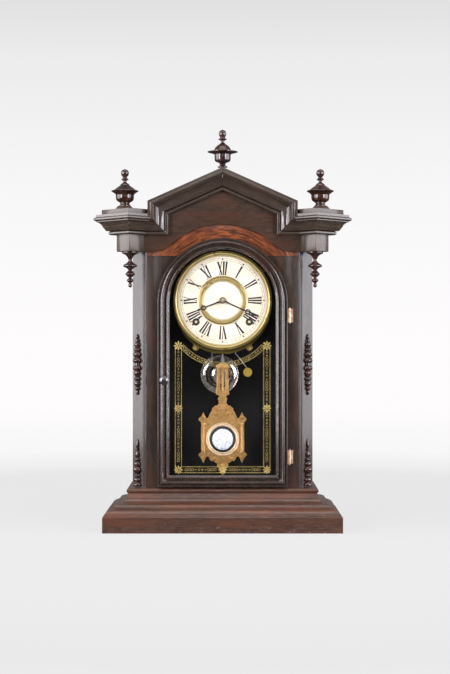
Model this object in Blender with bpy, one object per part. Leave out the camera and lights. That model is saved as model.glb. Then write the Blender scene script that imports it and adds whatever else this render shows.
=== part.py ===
"""Mantel clock: a wooden parlour clock with an eight-day striking movement, built as separate pieces.

Metres, +Z up. The dial faces -Y and +X is to the viewer's right. The origin is on the surface that
the clock stands on, midway across its width and midway between the crown's front corners and the
back. A depth is measured backwards from the face of the front frame, so a negative depth is in
front of it.
"""

from math import atan2, cos, pi, radians, sin, sqrt, tan

import bmesh
import bpy
from mathutils import Vector

GAP = 0.0003
ROOT2 = sqrt(2)

# Case
BODY_HALF_WIDTH = 0.1141
BODY_BOTTOM = 0.0528
BODY_TOP = 0.3956
CASE_DEPTH = 0.0965
BOARD = 0.009
FRAME_THICK = 0.012
CHAMFER = 0.0187
REED_WIDTH = 0.0033
BACKBOARD = 0.006
BACK_REBATE = 0.001

# Base
BASE_HALF_WIDTH = 0.1487
BASE_PROJECTION = 0.0346
BASE_RAIL = 0.0407
BASE_BOARD = 0.0115

# Corner blocks, frieze and crown
BLOCK_HALF = 0.0122
BLOCK_CENTRE_X = 0.1160
BLOCK_DEPTH = -0.0030
BLOCK_BOTTOM = 0.3494
FRIEZE_PROUD = 0.0032
TYMPANUM_THICK = 0.0080
CROWN_BOTTOM = 0.3702
CROWN_HEIGHT = BODY_TOP - CROWN_BOTTOM
CROWN_REACH = 0.0203
CROWN_TURN_X = 0.0680
CROWN_RISE = 0.0254
RAKE = radians(24.1)
SLAB_THICK = 0.0062
SLAB_REACH = 0.0131
PAD_HEIGHT = 0.0042
PAD_FOOT = 0.0109
PAD_TOP = 0.0080
SIDE_FINIAL_X = 0.1222
FINIAL_DEPTH = -FRIEZE_PROUD - GAP - 0.0095
RIDGE = CROWN_BOTTOM + CROWN_RISE + CROWN_TURN_X * tan(RAKE) + CROWN_HEIGHT / cos(RAKE)
UPPER_SPINDLE_HEIGHT = 0.2080
LOWER_SPINDLE_HEIGHT = 0.0838

# Front opening and door
ARCH_HEIGHT = 0.2852
OPENING_HALF = 0.0720
OPENING_BOTTOM = 0.0640
DOOR_HALF = 0.0812
DOOR_BOTTOM = 0.0545
DOOR_WIDTH = 0.0144
DOOR_CLEARANCE = 0.0006
DOOR_THICK = 0.0100
GLASS_THICK = 0.0020
REBATE = 0.0032
FRIEZE_ARC = 0.0984
HINGE_X = 0.0842
HINGE_DEPTH = -0.0026
HINGE_LENGTH = 0.0170
HINGE_HEIGHTS = {"upper": 0.2694, "lower": 0.0917}
KNUCKLE = 0.0018
CASE_LEAF = 0.0044
HINGE_PIN = 0.0007
KNOB_X = -0.0729
KNOB_HEIGHT = 0.1886

# Dial and hands
DIAL_HEIGHT = 0.2886
BEZEL_OUTER = 0.0626
BEZEL_INNER = 0.0556
DIAL_DEPTH = 0.0076
DIAL_THICK = 0.0010
PAN_DROP = 0.0052
PAN_BACK = 0.0150
CENTRE_RING = (0.0235, 0.0302)
WINDING_X = 0.0336
WINDING_DROP = 0.0271
WINDING_HOLE = 0.0044
MINUTE_ANGLE = radians(114.5)
HOUR_ANGLE = radians(248.5)

# Movement
PLATE_HALF = 0.0540
PLATE_BOTTOM = 0.2296
PLATE_TOP = 0.3326
PLATE_THICK = 0.0016
PLATE_CANT_X = 0.0290
PLATE_CANT_Z = 0.2545
PILLAR_INSET = 0.0070
LOWER_PILLAR_X = 0.0262
FRONT_PLATE = 0.0215
BACK_PLATE = 0.0520
PILLAR = 0.0028
ARBOR = 0.0012
PIVOT = 0.0008
CENTRE_ARBOR = 0.0015
WINDING_ARBOR = 0.0025
HOUR_PIPE = (0.0020, 0.0028)
WHEEL_THICK = 0.0010
PENDULUM_DEPTH = 0.0175
ROD_LOW = 0.1650
BOB_CENTRE = 0.1131
BOB_THICK = 0.0084
MIRROR_RADIUS = 0.0139
BELL_X = -0.0039
BELL_HEIGHT = 0.1944
BELL_RADIUS = 0.0250
BELL_FRONT = 0.0320
BELL_RIM = 0.0460

BLOCK_DIAGONAL = BLOCK_HALF * ROOT2
CORNER_REACH = -BLOCK_DEPTH + BLOCK_DIAGONAL + (GAP + CROWN_REACH) * ROOT2
FRONT = CORNER_REACH - (CASE_DEPTH + CORNER_REACH) / 2

WOOD_DARK = ("wood_dark", (0.145, 0.085, 0.055), 0.35, 0.0)
WOOD_RED = ("wood_red_brown", (0.16, 0.075, 0.045), 0.35, 0.0)
VENEER = ("veneer_orange_brown", (0.30, 0.11, 0.04), 0.35, 0.0)
TURNED = ("turned_dark_wood", (0.07, 0.02, 0.012), 0.25, 0.0)
PINE = ("pine_board", (0.35, 0.22, 0.12), 0.7, 0.0)
BRASS = ("brass", (0.58, 0.42, 0.16), 0.3, 1.0)
STEEL = ("steel", (0.45, 0.45, 0.46), 0.35, 1.0)
NICKEL = ("nickel", (0.62, 0.60, 0.56), 0.25, 1.0)
GILT = ("gilt", (0.52, 0.34, 0.15), 0.5, 1.0)
BLACK = ("blued_steel", (0.02, 0.02, 0.022), 0.35, 1.0)
PAPER = ("dial_paper", (0.80, 0.74, 0.60), 0.8, 0.0)
GLASS = ("glass", (0.9, 0.95, 0.93), 0.05, 0.0)


def clear_scene():
    for old in list(bpy.data.objects):
        bpy.data.objects.remove(old, do_unlink=True)


def material(spec):
    name, colour, roughness, metallic = spec
    found = bpy.data.materials.get(name)
    if found:
        return found
    made = bpy.data.materials.new(name)
    made.use_nodes = True
    shader = made.node_tree.nodes["Principled BSDF"]
    shader.inputs["Base Color"].default_value = (*colour, 1.0)
    shader.inputs["Roughness"].default_value = roughness
    shader.inputs["Metallic"].default_value = metallic
    return made


def place(x, depth, z):
    """World position of a point given by its depth behind the front frame's face."""
    return Vector((x, FRONT + depth, z))


def finish(name, mesh_data, spec, at, smooth_angle=35):
    """Object from a bmesh whose points are relative to `at`."""
    bmesh.ops.recalc_face_normals(mesh_data, faces=mesh_data.faces)
    mesh = bpy.data.meshes.new(name)
    mesh_data.to_mesh(mesh)
    mesh_data.free()
    mesh.shade_smooth()
    mesh.set_sharp_from_angle(angle=radians(smooth_angle))
    made = bpy.data.objects.new(name, mesh)
    bpy.context.scene.collection.objects.link(made)
    made.location = at
    mesh.materials.append(material(spec))
    return made


def helper(made):
    made.hide_render = True
    made.display_type = "WIRE"
    return made


def combine(target, operand, operation):
    """A Boolean on target. The operand is kept as a hidden helper at the same place."""
    modifier = target.modifiers.new(f"{operation.lower()}_{operand.name}", "BOOLEAN")
    modifier.operation = operation
    modifier.object = helper(operand)
    return target


def solid_between(first, second):
    """Closed bmesh between two matching outlines of 3-D points."""
    data = bmesh.new()
    rings = [[data.verts.new(point) for point in outline] for outline in (first, second)]
    data.faces.new(rings[0])
    data.faces.new(list(reversed(rings[1])))
    count = len(first)
    for i in range(count):
        j = (i + 1) % count
        data.faces.new((rings[0][i], rings[1][i], rings[1][j], rings[0][j]))
    return data


def front_prism(name, outline, depth0, depth1, spec, at=(0, 0, 0)):
    """Prism along Y from an outline of (x, z), placed at `at` = (x, depth, z)."""
    data = solid_between(
        [(x, depth0, z) for x, z in outline],
        [(x, depth1, z) for x, z in outline],
    )
    return finish(name, data, spec, place(*at))


def plan_prism(name, outline, z0, z1, spec, at=(0, 0, 0)):
    """Prism along Z from an outline of (x, depth)."""
    data = solid_between(
        [(x, depth, z0) for x, depth in outline],
        [(x, depth, z1) for x, depth in outline],
    )
    return finish(name, data, spec, place(*at))


def box(name, x0, x1, depth0, depth1, z0, z1, spec, at=(0, 0, 0)):
    outline = [(x0, z0), (x1, z0), (x1, z1), (x0, z1)]
    return front_prism(name, outline, depth0, depth1, spec, at)


def looped(rings, capped):
    """Closed bmesh through rings of matching 3-D points, capped at its ends or joined into a loop."""
    data = bmesh.new()
    made = [[data.verts.new(point) for point in ring] for ring in rings]
    around = len(rings[0])
    pairs = list(zip(made, made[1:]))
    if capped:
        data.faces.new(made[0])
        data.faces.new(list(reversed(made[-1])))
    else:
        pairs.append((made[-1], made[0]))
    for first, second in pairs:
        for i in range(around):
            j = (i + 1) % around
            data.faces.new((first[i], first[j], second[j], second[i]))
    return data


def turned(name, profile, spec, at, axis="Z", segments=12):
    """Solid of revolution. The profile holds (radius, height along the axis); a closed profile away
    from the axis gives a ring."""
    data = bmesh.new()
    if axis == "Z":
        points = [(r, 0, h) for r, h in profile]
        direction = (0, 0, 1)
    else:
        points = [(r, h, 0) for r, h in profile]
        direction = (0, 1, 0)
    verts = [data.verts.new(point) for point in points]
    edges = [data.edges.new(pair) for pair in zip(verts, verts[1:])]
    if profile[0][0] > 0:
        edges.append(data.edges.new((verts[-1], verts[0])))
    bmesh.ops.spin(
        data,
        geom=verts + edges,
        cent=(0, 0, 0),
        axis=direction,
        angle=2 * pi,
        steps=segments,
        use_merge=True,
    )
    bmesh.ops.remove_doubles(data, verts=data.verts, dist=1e-6)
    return finish(name, data, spec, place(*at), 40)


def rod(name, radius, depth0, depth1, spec, at=(0, 0, 0), segments=12):
    """Round bar along Y."""
    profile = [(0, depth0), (radius, depth0), (radius, depth1), (0, depth1)]
    return turned(name, profile, spec, at, "Y", segments)


def arc(centre, radius, start, end, steps):
    """Points of an arc, angles in radians from +X."""
    return [
        (
            centre[0] + radius * cos(start + (end - start) * i / steps),
            centre[1] + radius * sin(start + (end - start) * i / steps),
        )
        for i in range(steps + 1)
    ]


def mirrored(half):
    """A symmetric outline from its right half, which runs from top to bottom."""
    left = [(-x, z) for x, z in reversed(half) if abs(x) > 1e-9]
    return half + left


def mirror_x(outline):
    return [(-x, other) for x, other in outline]


def mitre(first, second):
    """Offset direction where two runs with these outward unit normals meet."""
    first = Vector(first)
    second = Vector(second)
    return (first + second) / (1 + first.dot(second))


# ---------------------------------------------------------------- case

BASE_PROFILE = [
    (0.0436, 0.0),
    (0.0436, 0.0211),
    (0.0410, 0.0224),
    (0.0408, 0.0240),
    (0.0391, 0.0268),
    (0.0366, 0.0292),
    (0.0333, 0.0307),
    (0.0293, 0.0319),
    (0.0291, 0.0331),
    (0.0271, 0.0357),
    (0.0225, 0.0371),
    (0.0194, 0.0376),
    (0.0166, 0.0390),
    (0.0142, 0.0416),
    (0.0129, 0.0446),
    (0.0117, 0.0498),
    (0.0112, 0.0504),
    (0.0126, 0.0512),
    (0.0133, 0.0533),
    (0.0126, 0.0554),
    (0.0108, 0.0565),
    (0.0, 0.0565),
    (0.0, 0.0),
]

CROWN_PROFILE = [
    (0.0, 0.0),
    (0.0046, 0.0),
    (0.0062, 0.0010),
    (0.0066, 0.0025),
    (0.0062, 0.0040),
    (0.0049, 0.0050),
    (0.0086, 0.0054),
    (0.0092, 0.0064),
    (0.0102, 0.0084),
    (0.0114, 0.0100),
    (0.0123, 0.0124),
    (0.0136, 0.0146),
    (0.0154, 0.0164),
    (0.0174, 0.0173),
    (0.0174, 0.0181),
    (0.0191, 0.0188),
    (0.0198, 0.0207),
    (0.0191, 0.0226),
    (0.0174, 0.0233),
    (0.0174, 0.0264),
    (0.0, 0.0264),
]


def base_profile():
    """The moulding's section, with its plinth at BASE_RAIL whatever the size."""
    scale_out = BASE_RAIL / BASE_PROFILE[0][0]
    scale_up = (BODY_BOTTOM - GAP) / BASE_PROFILE[-2][1]
    return [(out * scale_out, up * scale_up) for out, up in BASE_PROFILE]


def crown_profile():
    """The crown's section: how far it reaches out, and how far up."""
    widest = max(out for out, _ in CROWN_PROFILE)
    scale_out = CROWN_REACH / widest
    scale_up = CROWN_HEIGHT / CROWN_PROFILE[-1][1]
    return [(out * scale_out, up * scale_up) for out, up in CROWN_PROFILE]


def make_base():
    inner = BASE_HALF_WIDTH - BASE_RAIL
    front = BASE_RAIL - BASE_PROJECTION
    corner = mitre((1, 0), (0, -1))
    stations = [
        ((inner, CASE_DEPTH), Vector((1, 0))),
        ((inner, front), corner),
        ((-inner, front), Vector((-corner.x, corner.y))),
        ((-inner, CASE_DEPTH), Vector((-1, 0))),
    ]
    rings = []
    for (x, depth), out in stations:
        rings.append([(x + p * out.x, depth + p * out.y, h) for p, h in base_profile()])
    finish("base_moulding", looped(rings, True), WOOD_RED, place(0, 0, 0))
    box(
        "base_board",
        -(inner - GAP),
        inner - GAP,
        front + GAP,
        CASE_DEPTH,
        BODY_BOTTOM - GAP - BASE_BOARD,
        BODY_BOTTOM - GAP,
        PINE,
    )


def make_sides():
    inner = BODY_HALF_WIDTH - BOARD
    for side, sign in (("left", -1), ("right", 1)):
        low, high = sorted((sign * inner, sign * BODY_HALF_WIDTH))
        box(
            f"side_{side}",
            low,
            high,
            CHAMFER + GAP,
            CASE_DEPTH,
            BODY_BOTTOM,
            BODY_TOP - GAP,
            WOOD_DARK,
        )
    box(
        "backboard",
        -(inner - GAP),
        inner - GAP,
        CASE_DEPTH - BACK_REBATE - BACKBOARD,
        CASE_DEPTH - BACK_REBATE,
        BODY_BOTTOM,
        BODY_TOP - GAP,
        PINE,
    )


def make_pilasters():
    """Corner posts with a canted face, and two reeds along its inner edge below the block."""
    edge = BODY_HALF_WIDTH - CHAMFER
    for side, sign in (("left", -1), ("right", 1)):
        outline = [(edge, 0), (BODY_HALF_WIDTH, CHAMFER), (edge, CHAMFER)]
        reeds = [(edge + 0.0020, 0.0040)]
        for number in range(2):
            start = 0.0003 + number * REED_WIDTH
            for step in range(7):
                angle = pi * step / 6
                along = start + REED_WIDTH * (1 - cos(angle)) / 2
                rise = REED_WIDTH / 2 * sin(angle)
                reeds.append((edge + (along + rise) / ROOT2, (along - rise) / ROOT2))
        if sign < 0:
            outline = mirror_x(outline)
            reeds = mirror_x(reeds)
        post = plan_prism(f"pilaster_{side}", outline, BODY_BOTTOM, BODY_TOP - GAP, WOOD_DARK)
        strip = plan_prism(f"reed_{side}", reeds, BODY_BOTTOM, BLOCK_BOTTOM - GAP, WOOD_DARK)
        combine(post, strip, "UNION")


def arch_outline(half, bottom, centre, steps=32):
    """A round-headed opening or panel."""
    return [(half, bottom), *arc((0, centre), half, 0, pi, steps), (-half, bottom)]


def make_front_frame():
    half = BODY_HALF_WIDTH - CHAMFER - GAP
    frame = box("front_frame", -half, half, 0, FRAME_THICK, BODY_BOTTOM, BODY_TOP - GAP, VENEER)
    cutter = front_prism(
        "front_opening",
        arch_outline(OPENING_HALF, OPENING_BOTTOM, ARCH_HEIGHT),
        -0.01,
        FRAME_THICK + 0.01,
        VENEER,
    )
    combine(frame, cutter, "DIFFERENCE")


def rake_height(x, offset):
    """Height of the raked crown's edge at x, for a line this far outside its inner edge."""
    start = CROWN_BOTTOM + CROWN_RISE
    return start + (CROWN_TURN_X - abs(x)) * tan(RAKE) + offset / cos(RAKE)


def block_face_x(depth):
    """Where the corner block's inner side face stands at this depth."""
    return BLOCK_CENTRE_X - BLOCK_DIAGONAL - (depth - BLOCK_DEPTH)


def make_pediment():
    """Frieze and tympanum in one board: thin over the front frame, thick above the case."""
    front = -FRIEZE_PROUD
    back = -GAP
    arc_end = 0.0700
    start = atan2(arc_end, sqrt(FRIEZE_ARC**2 - arc_end**2))
    end_x = FRIEZE_ARC * cos(start)
    flare = BLOCK_BOTTOM - ARCH_HEIGHT
    lower = arc((0, ARCH_HEIGHT), FRIEZE_ARC, pi / 2, start, 14)
    ogee = [
        (end_x + 0.0040, ARCH_HEIGHT + flare + 0.0026),
        (end_x + 0.0082, ARCH_HEIGHT + flare + 0.0021),
        (end_x + 0.0120, ARCH_HEIGHT + flare + 0.0014),
        (end_x + 0.0162, ARCH_HEIGHT + flare),
    ]
    outer = CROWN_TURN_X + CROWN_HEIGHT - 0.0015
    shoulder = rake_height(outer, CROWN_HEIGHT - 0.0015)
    peak = rake_height(0, CROWN_HEIGHT - 0.0100)
    peak_half = (rake_height(0, CROWN_HEIGHT - 0.0015) - peak) / tan(RAKE)
    end_top = CROWN_BOTTOM + CROWN_HEIGHT - GAP
    rings = []
    for depth in (front, back):
        end = block_face_x(depth) - GAP * ROOT2
        right = [
            *lower,
            *ogee,
            (end, BLOCK_BOTTOM),
            (end, end_top),
            (outer, end_top),
            (outer, shoulder),
            (peak_half, peak),
        ]
        left = [(-x, z) for x, z in reversed(right) if abs(x) > 1e-9]
        rings.append([(x, depth, z) for x, z in right + left])
    board = finish("pediment_board", solid_between(*rings), WOOD_DARK, place(0, 0, 0))
    backing = [
        (outer, BODY_TOP + GAP),
        (outer, shoulder),
        (peak_half, peak),
        (-peak_half, peak),
        (-outer, shoulder),
        (-outer, BODY_TOP + GAP),
    ]
    upper = front_prism("tympanum_backing", backing, back - 0.0006, TYMPANUM_THICK, WOOD_DARK)
    combine(board, upper, "UNION")


def make_crown():
    """One moulding a side: along the case, round the block, along the frieze, up and up the rake."""
    face = -FRIEZE_PROUD - GAP
    side_x = BODY_HALF_WIDTH + GAP
    out = BLOCK_DIAGONAL + GAP * ROOT2
    block_out = BLOCK_CENTRE_X + out
    block_back = BLOCK_DEPTH + (block_out - side_x)
    inner_x = BLOCK_CENTRE_X - (out - (BLOCK_DEPTH - face))
    slant = 1 / ROOT2
    up = Vector((0, 0, 1))
    ahead = Vector((0, -1, 0))
    plan = [
        ((side_x, CASE_DEPTH), (1, 0), (1, 0)),
        ((side_x, block_back), (1, 0), (slant, slant)),
        ((block_out, BLOCK_DEPTH), (slant, slant), (slant, -slant)),
        ((BLOCK_CENTRE_X, BLOCK_DEPTH - out), (slant, -slant), (-slant, -slant)),
        ((inner_x, face), (-slant, -slant), (0, -1)),
    ]
    stations = []
    for (x, depth), first, second in plan:
        across = mitre(first, second)
        stations.append((Vector((x, depth, CROWN_BOTTOM)), across.to_3d(), up))
    level = (0, 1)
    upright = (1, 0)
    raked = (sin(RAKE), cos(RAKE))
    turn_top = CROWN_BOTTOM + CROWN_RISE
    peak = turn_top + CROWN_TURN_X * tan(RAKE)
    for x, z, first, second in (
        (CROWN_TURN_X, CROWN_BOTTOM, level, upright),
        (CROWN_TURN_X, turn_top, upright, raked),
    ):
        rise = mitre(first, second)
        stations.append((Vector((x, face, z)), ahead, Vector((rise.x, 0, rise.y))))
    top = Vector((GAP / 2, face, peak - GAP / 2 * tan(RAKE)))
    stations.append((top, ahead, Vector((0, 0, 1 / cos(RAKE)))))
    socket_x = 0.0034
    for side, sign in (("left", -1), ("right", 1)):
        rings = []
        for start, across, rise in stations:
            ring = [start + p * across + h * rise for p, h in crown_profile()]
            rings.append([(sign * point.x, point.y, point.z) for point in ring])
        crown = finish(f"crown_{side}", looped(rings, True), WOOD_DARK, place(0, 0, 0))
        peg_hole = turned(
            f"peg_hole_{side}",
            [(0, -0.0090), (socket_x, -0.0090), (socket_x, 0.02), (0, 0.02)],
            WOOD_DARK,
            (0, FINIAL_DEPTH, RIDGE),
        )
        combine(crown, peg_hole, "DIFFERENCE")


def make_blocks():
    """Square blocks turned to the case's canted corners, from the pilaster's top to the slab."""
    canted = (BODY_HALF_WIDTH - CHAMFER) / ROOT2
    out_centre = (BLOCK_CENTRE_X - BLOCK_DEPTH) / ROOT2
    length = out_centre - canted - GAP
    centre = Vector((BLOCK_CENTRE_X, BLOCK_DEPTH))
    out = Vector((1, -1)) / ROOT2
    along = Vector((1, 1)) / ROOT2
    for side, sign in (("left", -1), ("right", 1)):
        corners = [
            centre + out * BLOCK_HALF + along * BLOCK_HALF,
            centre + out * BLOCK_HALF - along * BLOCK_HALF,
            centre - out * length - along * BLOCK_HALF,
            centre - out * length + along * BLOCK_HALF,
        ]
        outline = [(sign * corner.x, corner.y) for corner in corners]
        plan_prism(f"corner_block_{side}", outline, BLOCK_BOTTOM, BODY_TOP - GAP, WOOD_DARK)


def make_top_board():
    """The slab over the crown, stepped round the blocks and cut back behind the pediment."""
    reach = BLOCK_DIAGONAL + SLAB_REACH * ROOT2
    side_x = BODY_HALF_WIDTH + SLAB_REACH
    inner_x = CROWN_TURN_X + CROWN_HEIGHT + GAP
    behind = TYMPANUM_THICK + GAP
    right = [
        (side_x, CASE_DEPTH),
        (side_x, BLOCK_DEPTH + BLOCK_CENTRE_X + reach - side_x),
        (BLOCK_CENTRE_X + reach, BLOCK_DEPTH),
        (BLOCK_CENTRE_X, BLOCK_DEPTH - reach),
        (inner_x, BLOCK_DEPTH - reach + BLOCK_CENTRE_X - inner_x),
        (inner_x, behind),
    ]
    outline = right + mirror_x(list(reversed(right)))
    bottom = BODY_TOP + GAP
    top = BODY_TOP + SLAB_THICK
    slab = plan_prism("top_board", outline, bottom, top, WOOD_DARK)
    for side, sign in (("left", -1), ("right", 1)):
        rings = []
        for half, z in ((PAD_FOOT, top - 0.0010), (PAD_FOOT, top + 0.0006), (PAD_TOP, top + PAD_HEIGHT)):
            rings.append([(half, -half, z), (half, half, z), (-half, half, z), (-half, -half, z)])
        depth = side_finial_depth()
        pad = finish(f"pad_{side}", looped(rings, True), WOOD_DARK, place(0, 0, 0))
        pad.location = place(sign * SIDE_FINIAL_X, depth, 0)
        combine(slab, pad, "UNION")


def side_finial_depth():
    """Side finials stand on the block's diagonal."""
    return BLOCK_DEPTH - (SIDE_FINIAL_X - BLOCK_CENTRE_X)


CENTRE_FINIAL = [
    (0.0062, 0.0),
    (0.0059, 0.0011),
    (0.0030, 0.0036),
    (0.0044, 0.0051),
    (0.0089, 0.0074),
    (0.0100, 0.0102),
    (0.0100, 0.0161),
    (0.0098, 0.0172),
    (0.0140, 0.0184),
    (0.0190, 0.0192),
    (0.0150, 0.0201),
    (0.0104, 0.0216),
    (0.0083, 0.0257),
    (0.0042, 0.0287),
    (0.0024, 0.0302),
    (0.0022, 0.0326),
    (0.0054, 0.0350),
    (0.0040, 0.0362),
    (0.0028, 0.0379),
    (0.0040, 0.0395),
    (0.0045, 0.0424),
    (0.0033, 0.0457),
    (0.0, 0.0471),
]

SIDE_FINIAL = [
    (0.0067, 0.0),
    (0.0066, 0.0009),
    (0.0056, 0.0025),
    (0.0060, 0.0039),
    (0.0075, 0.0050),
    (0.0108, 0.0081),
    (0.0113, 0.0125),
    (0.0120, 0.0150),
    (0.0137, 0.0163),
    (0.0171, 0.0186),
    (0.0165, 0.0193),
    (0.0132, 0.0204),
    (0.0117, 0.0216),
    (0.0088, 0.0238),
    (0.0067, 0.0254),
    (0.0042, 0.0284),
    (0.0021, 0.0306),
    (0.0026, 0.0321),
    (0.0046, 0.0331),
    (0.0030, 0.0348),
    (0.0022, 0.0363),
    (0.0034, 0.0369),
    (0.0050, 0.0413),
    (0.0034, 0.0450),
    (0.0, 0.0463),
]

PENDANT = [
    (0.0, 0.0),
    (0.0102, 0.0),
    (0.0102, -0.0022),
    (0.0062, -0.0040),
    (0.0038, -0.0064),
    (0.0023, -0.0086),
    (0.0023, -0.0112),
    (0.0052, -0.0142),
    (0.0088, -0.0172),
    (0.0088, -0.0182),
    (0.0046, -0.0206),
    (0.0021, -0.0226),
    (0.0050, -0.0266),
    (0.0060, -0.0278),
    (0.0050, -0.0290),
    (0.0016, -0.0322),
    (0.0043, -0.0352),
    (0.0043, -0.0362),
    (0.0014, -0.0390),
    (0.0023, -0.0416),
    (0.0023, -0.0428),
    (0.0, -0.0448),
]

UPPER_SPINDLE = [
    (0.0, -0.0390),
    (0.0019, -0.0340),
    (0.0025, -0.0300),
    (0.0043, -0.0245),
    (0.0038, -0.0180),
    (0.0042, -0.0110),
    (0.0065, -0.0042),
    (0.0045, 0.0),
    (0.0065, 0.0042),
    (0.0056, 0.0096),
    (0.0050, 0.0160),
    (0.0043, 0.0255),
    (0.0025, 0.0320),
    (0.0, 0.0385),
]

LOWER_SPINDLE = [
    (0.0, -0.0300),
    (0.0055, -0.0300),
    (0.0063, -0.0270),
    (0.0050, -0.0215),
    (0.0045, -0.0150),
    (0.0063, -0.0085),
    (0.0044, 0.0005),
    (0.0028, 0.0105),
    (0.0015, 0.0205),
    (0.0, 0.0298),
]


def make_turnings():
    peg = [(0, -0.0085), (0.0030, -0.0085), (0.0030, GAP)]
    centre = peg + [(r, h + GAP) for r, h in CENTRE_FINIAL]
    turned("finial_centre", centre, TURNED, (0, FINIAL_DEPTH, RIDGE))
    seat = BODY_TOP + SLAB_THICK + PAD_HEIGHT + GAP
    for side, sign in (("left", -1), ("right", 1)):
        at = (sign * SIDE_FINIAL_X, side_finial_depth(), seat)
        turned(f"finial_{side}", [(0, 0), *SIDE_FINIAL], TURNED, at)
        at = (sign * BLOCK_CENTRE_X, BLOCK_DEPTH, BLOCK_BOTTOM - GAP)
        turned(f"pendant_{side}", PENDANT, TURNED, at)
        make_spindle(f"spindle_upper_{side}", UPPER_SPINDLE, sign, UPPER_SPINDLE_HEIGHT)
        make_spindle(f"spindle_lower_{side}", LOWER_SPINDLE, sign, LOWER_SPINDLE_HEIGHT)


def make_spindle(name, profile, sign, height):
    """A turning split in half, with its flat on the middle of the pilaster's plain face."""
    plain = CHAMFER * ROOT2 - 2 * REED_WIDTH - 0.0003
    along = (CHAMFER * ROOT2 - plain / 2) / ROOT2
    foot = GAP / ROOT2
    x = BODY_HALF_WIDTH - CHAMFER + along + foot
    depth = along - foot
    data = bmesh.new()
    steps = 6
    rings = []
    for r, h in profile:
        if r == 0:
            rings.append([data.verts.new((0, 0, h))])
            continue
        ring = []
        for step in range(steps + 1):
            angle = pi * step / steps
            ring.append(data.verts.new((r * cos(angle), -r * sin(angle), h)))
        rings.append(ring)
    for first, second in zip(rings, rings[1:]):
        if len(first) == 1:
            for i in range(steps + 1):
                data.faces.new((first[0], second[i], second[(i + 1) % (steps + 1)]))
        elif len(second) == 1:
            for i in range(steps + 1):
                data.faces.new((first[i], first[(i + 1) % (steps + 1)], second[0]))
        else:
            for i in range(steps + 1):
                j = (i + 1) % (steps + 1)
                data.faces.new((first[i], first[j], second[j], second[i]))
    made = finish(name, data, TURNED, place(sign * x, depth, height), 40)
    made.rotation_euler = (0, 0, sign * pi / 4)
    return made


# ---------------------------------------------------------------- door

def door_section():
    """(distance in from the door's outer edge, depth) round the moulding's section."""
    back = -DOOR_CLEARANCE
    face = back - DOOR_THICK
    rebate_face = back - 0.0048
    return [
        (0.0, back),
        (0.0, face + 0.0026),
        (0.0028, face + 0.0026),
        (0.0031, face + 0.0018),
        (0.0042, face + 0.0004),
        (0.0058, face),
        (0.0073, face + 0.0010),
        (0.0082, face + 0.0032),
        (0.0098, face + 0.0040),
        (0.0104, face + 0.0024),
        (0.0118, face + 0.0014),
        (0.0133, face + 0.0022),
        (DOOR_WIDTH, face + 0.0040),
        (DOOR_WIDTH, rebate_face),
        (DOOR_WIDTH - REBATE, rebate_face),
        (DOOR_WIDTH - REBATE, back),
    ]


def make_door():
    hinge = (HINGE_X, HINGE_DEPTH, 0)
    arch = ARCH_HEIGHT
    steps = 20
    rings = []

    def ring(place_of):
        points = []
        for inset, depth in door_section():
            x, z = place_of(inset)
            points.append((x - HINGE_X, depth - HINGE_DEPTH, z))
        return points

    rings.append(ring(lambda inset: (DOOR_HALF - inset, DOOR_BOTTOM + inset)))
    for step in range(steps + 1):
        angle = pi * step / steps

        def on_arch(inset, angle=angle):
            radius = DOOR_HALF - inset
            return (radius * cos(angle), arch + radius * sin(angle))

        rings.append(ring(on_arch))
    rings.append(ring(lambda inset: (-DOOR_HALF + inset, DOOR_BOTTOM + inset)))
    finish("door_frame", looped(rings, False), WOOD_DARK, place(*hinge), 30)

    inset = DOOR_WIDTH - REBATE + GAP
    glass_front = -DOOR_CLEARANCE - 0.0048 + GAP
    outline = arch_outline(DOOR_HALF - inset, DOOR_BOTTOM + inset, arch, 24)
    outline = [(x - HINGE_X, z) for x, z in outline]
    front_prism(
        "door_glass",
        outline,
        glass_front - HINGE_DEPTH,
        glass_front + GLASS_THICK - HINGE_DEPTH,
        GLASS,
        hinge,
    )
    seat = -DOOR_CLEARANCE - DOOR_THICK - GAP
    knob = [
        (0.0, 0.0),
        (0.0052, 0.0),
        (0.0052, -0.0010),
        (0.0030, -0.0016),
        (0.0026, -0.0040),
        (0.0045, -0.0056),
        (0.0060, -0.0084),
        (0.0056, -0.0106),
        (0.0034, -0.0122),
        (0.0, -0.0126),
    ]
    turned("door_knob", knob, NICKEL, (KNOB_X, seat, KNOB_HEIGHT), "Y")


def upright(name, radius, z0, z1, spec, at, bore=0.0):
    """Round bar along Z, or a tube when it has a bore."""
    if bore:
        profile = [(bore, z0), (radius, z0), (radius, z1), (bore, z1)]
    else:
        profile = [(0, z0), (radius, z0), (radius, z1), (0, z1)]
    return turned(name, profile, spec, at, "Z", 12)


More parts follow.
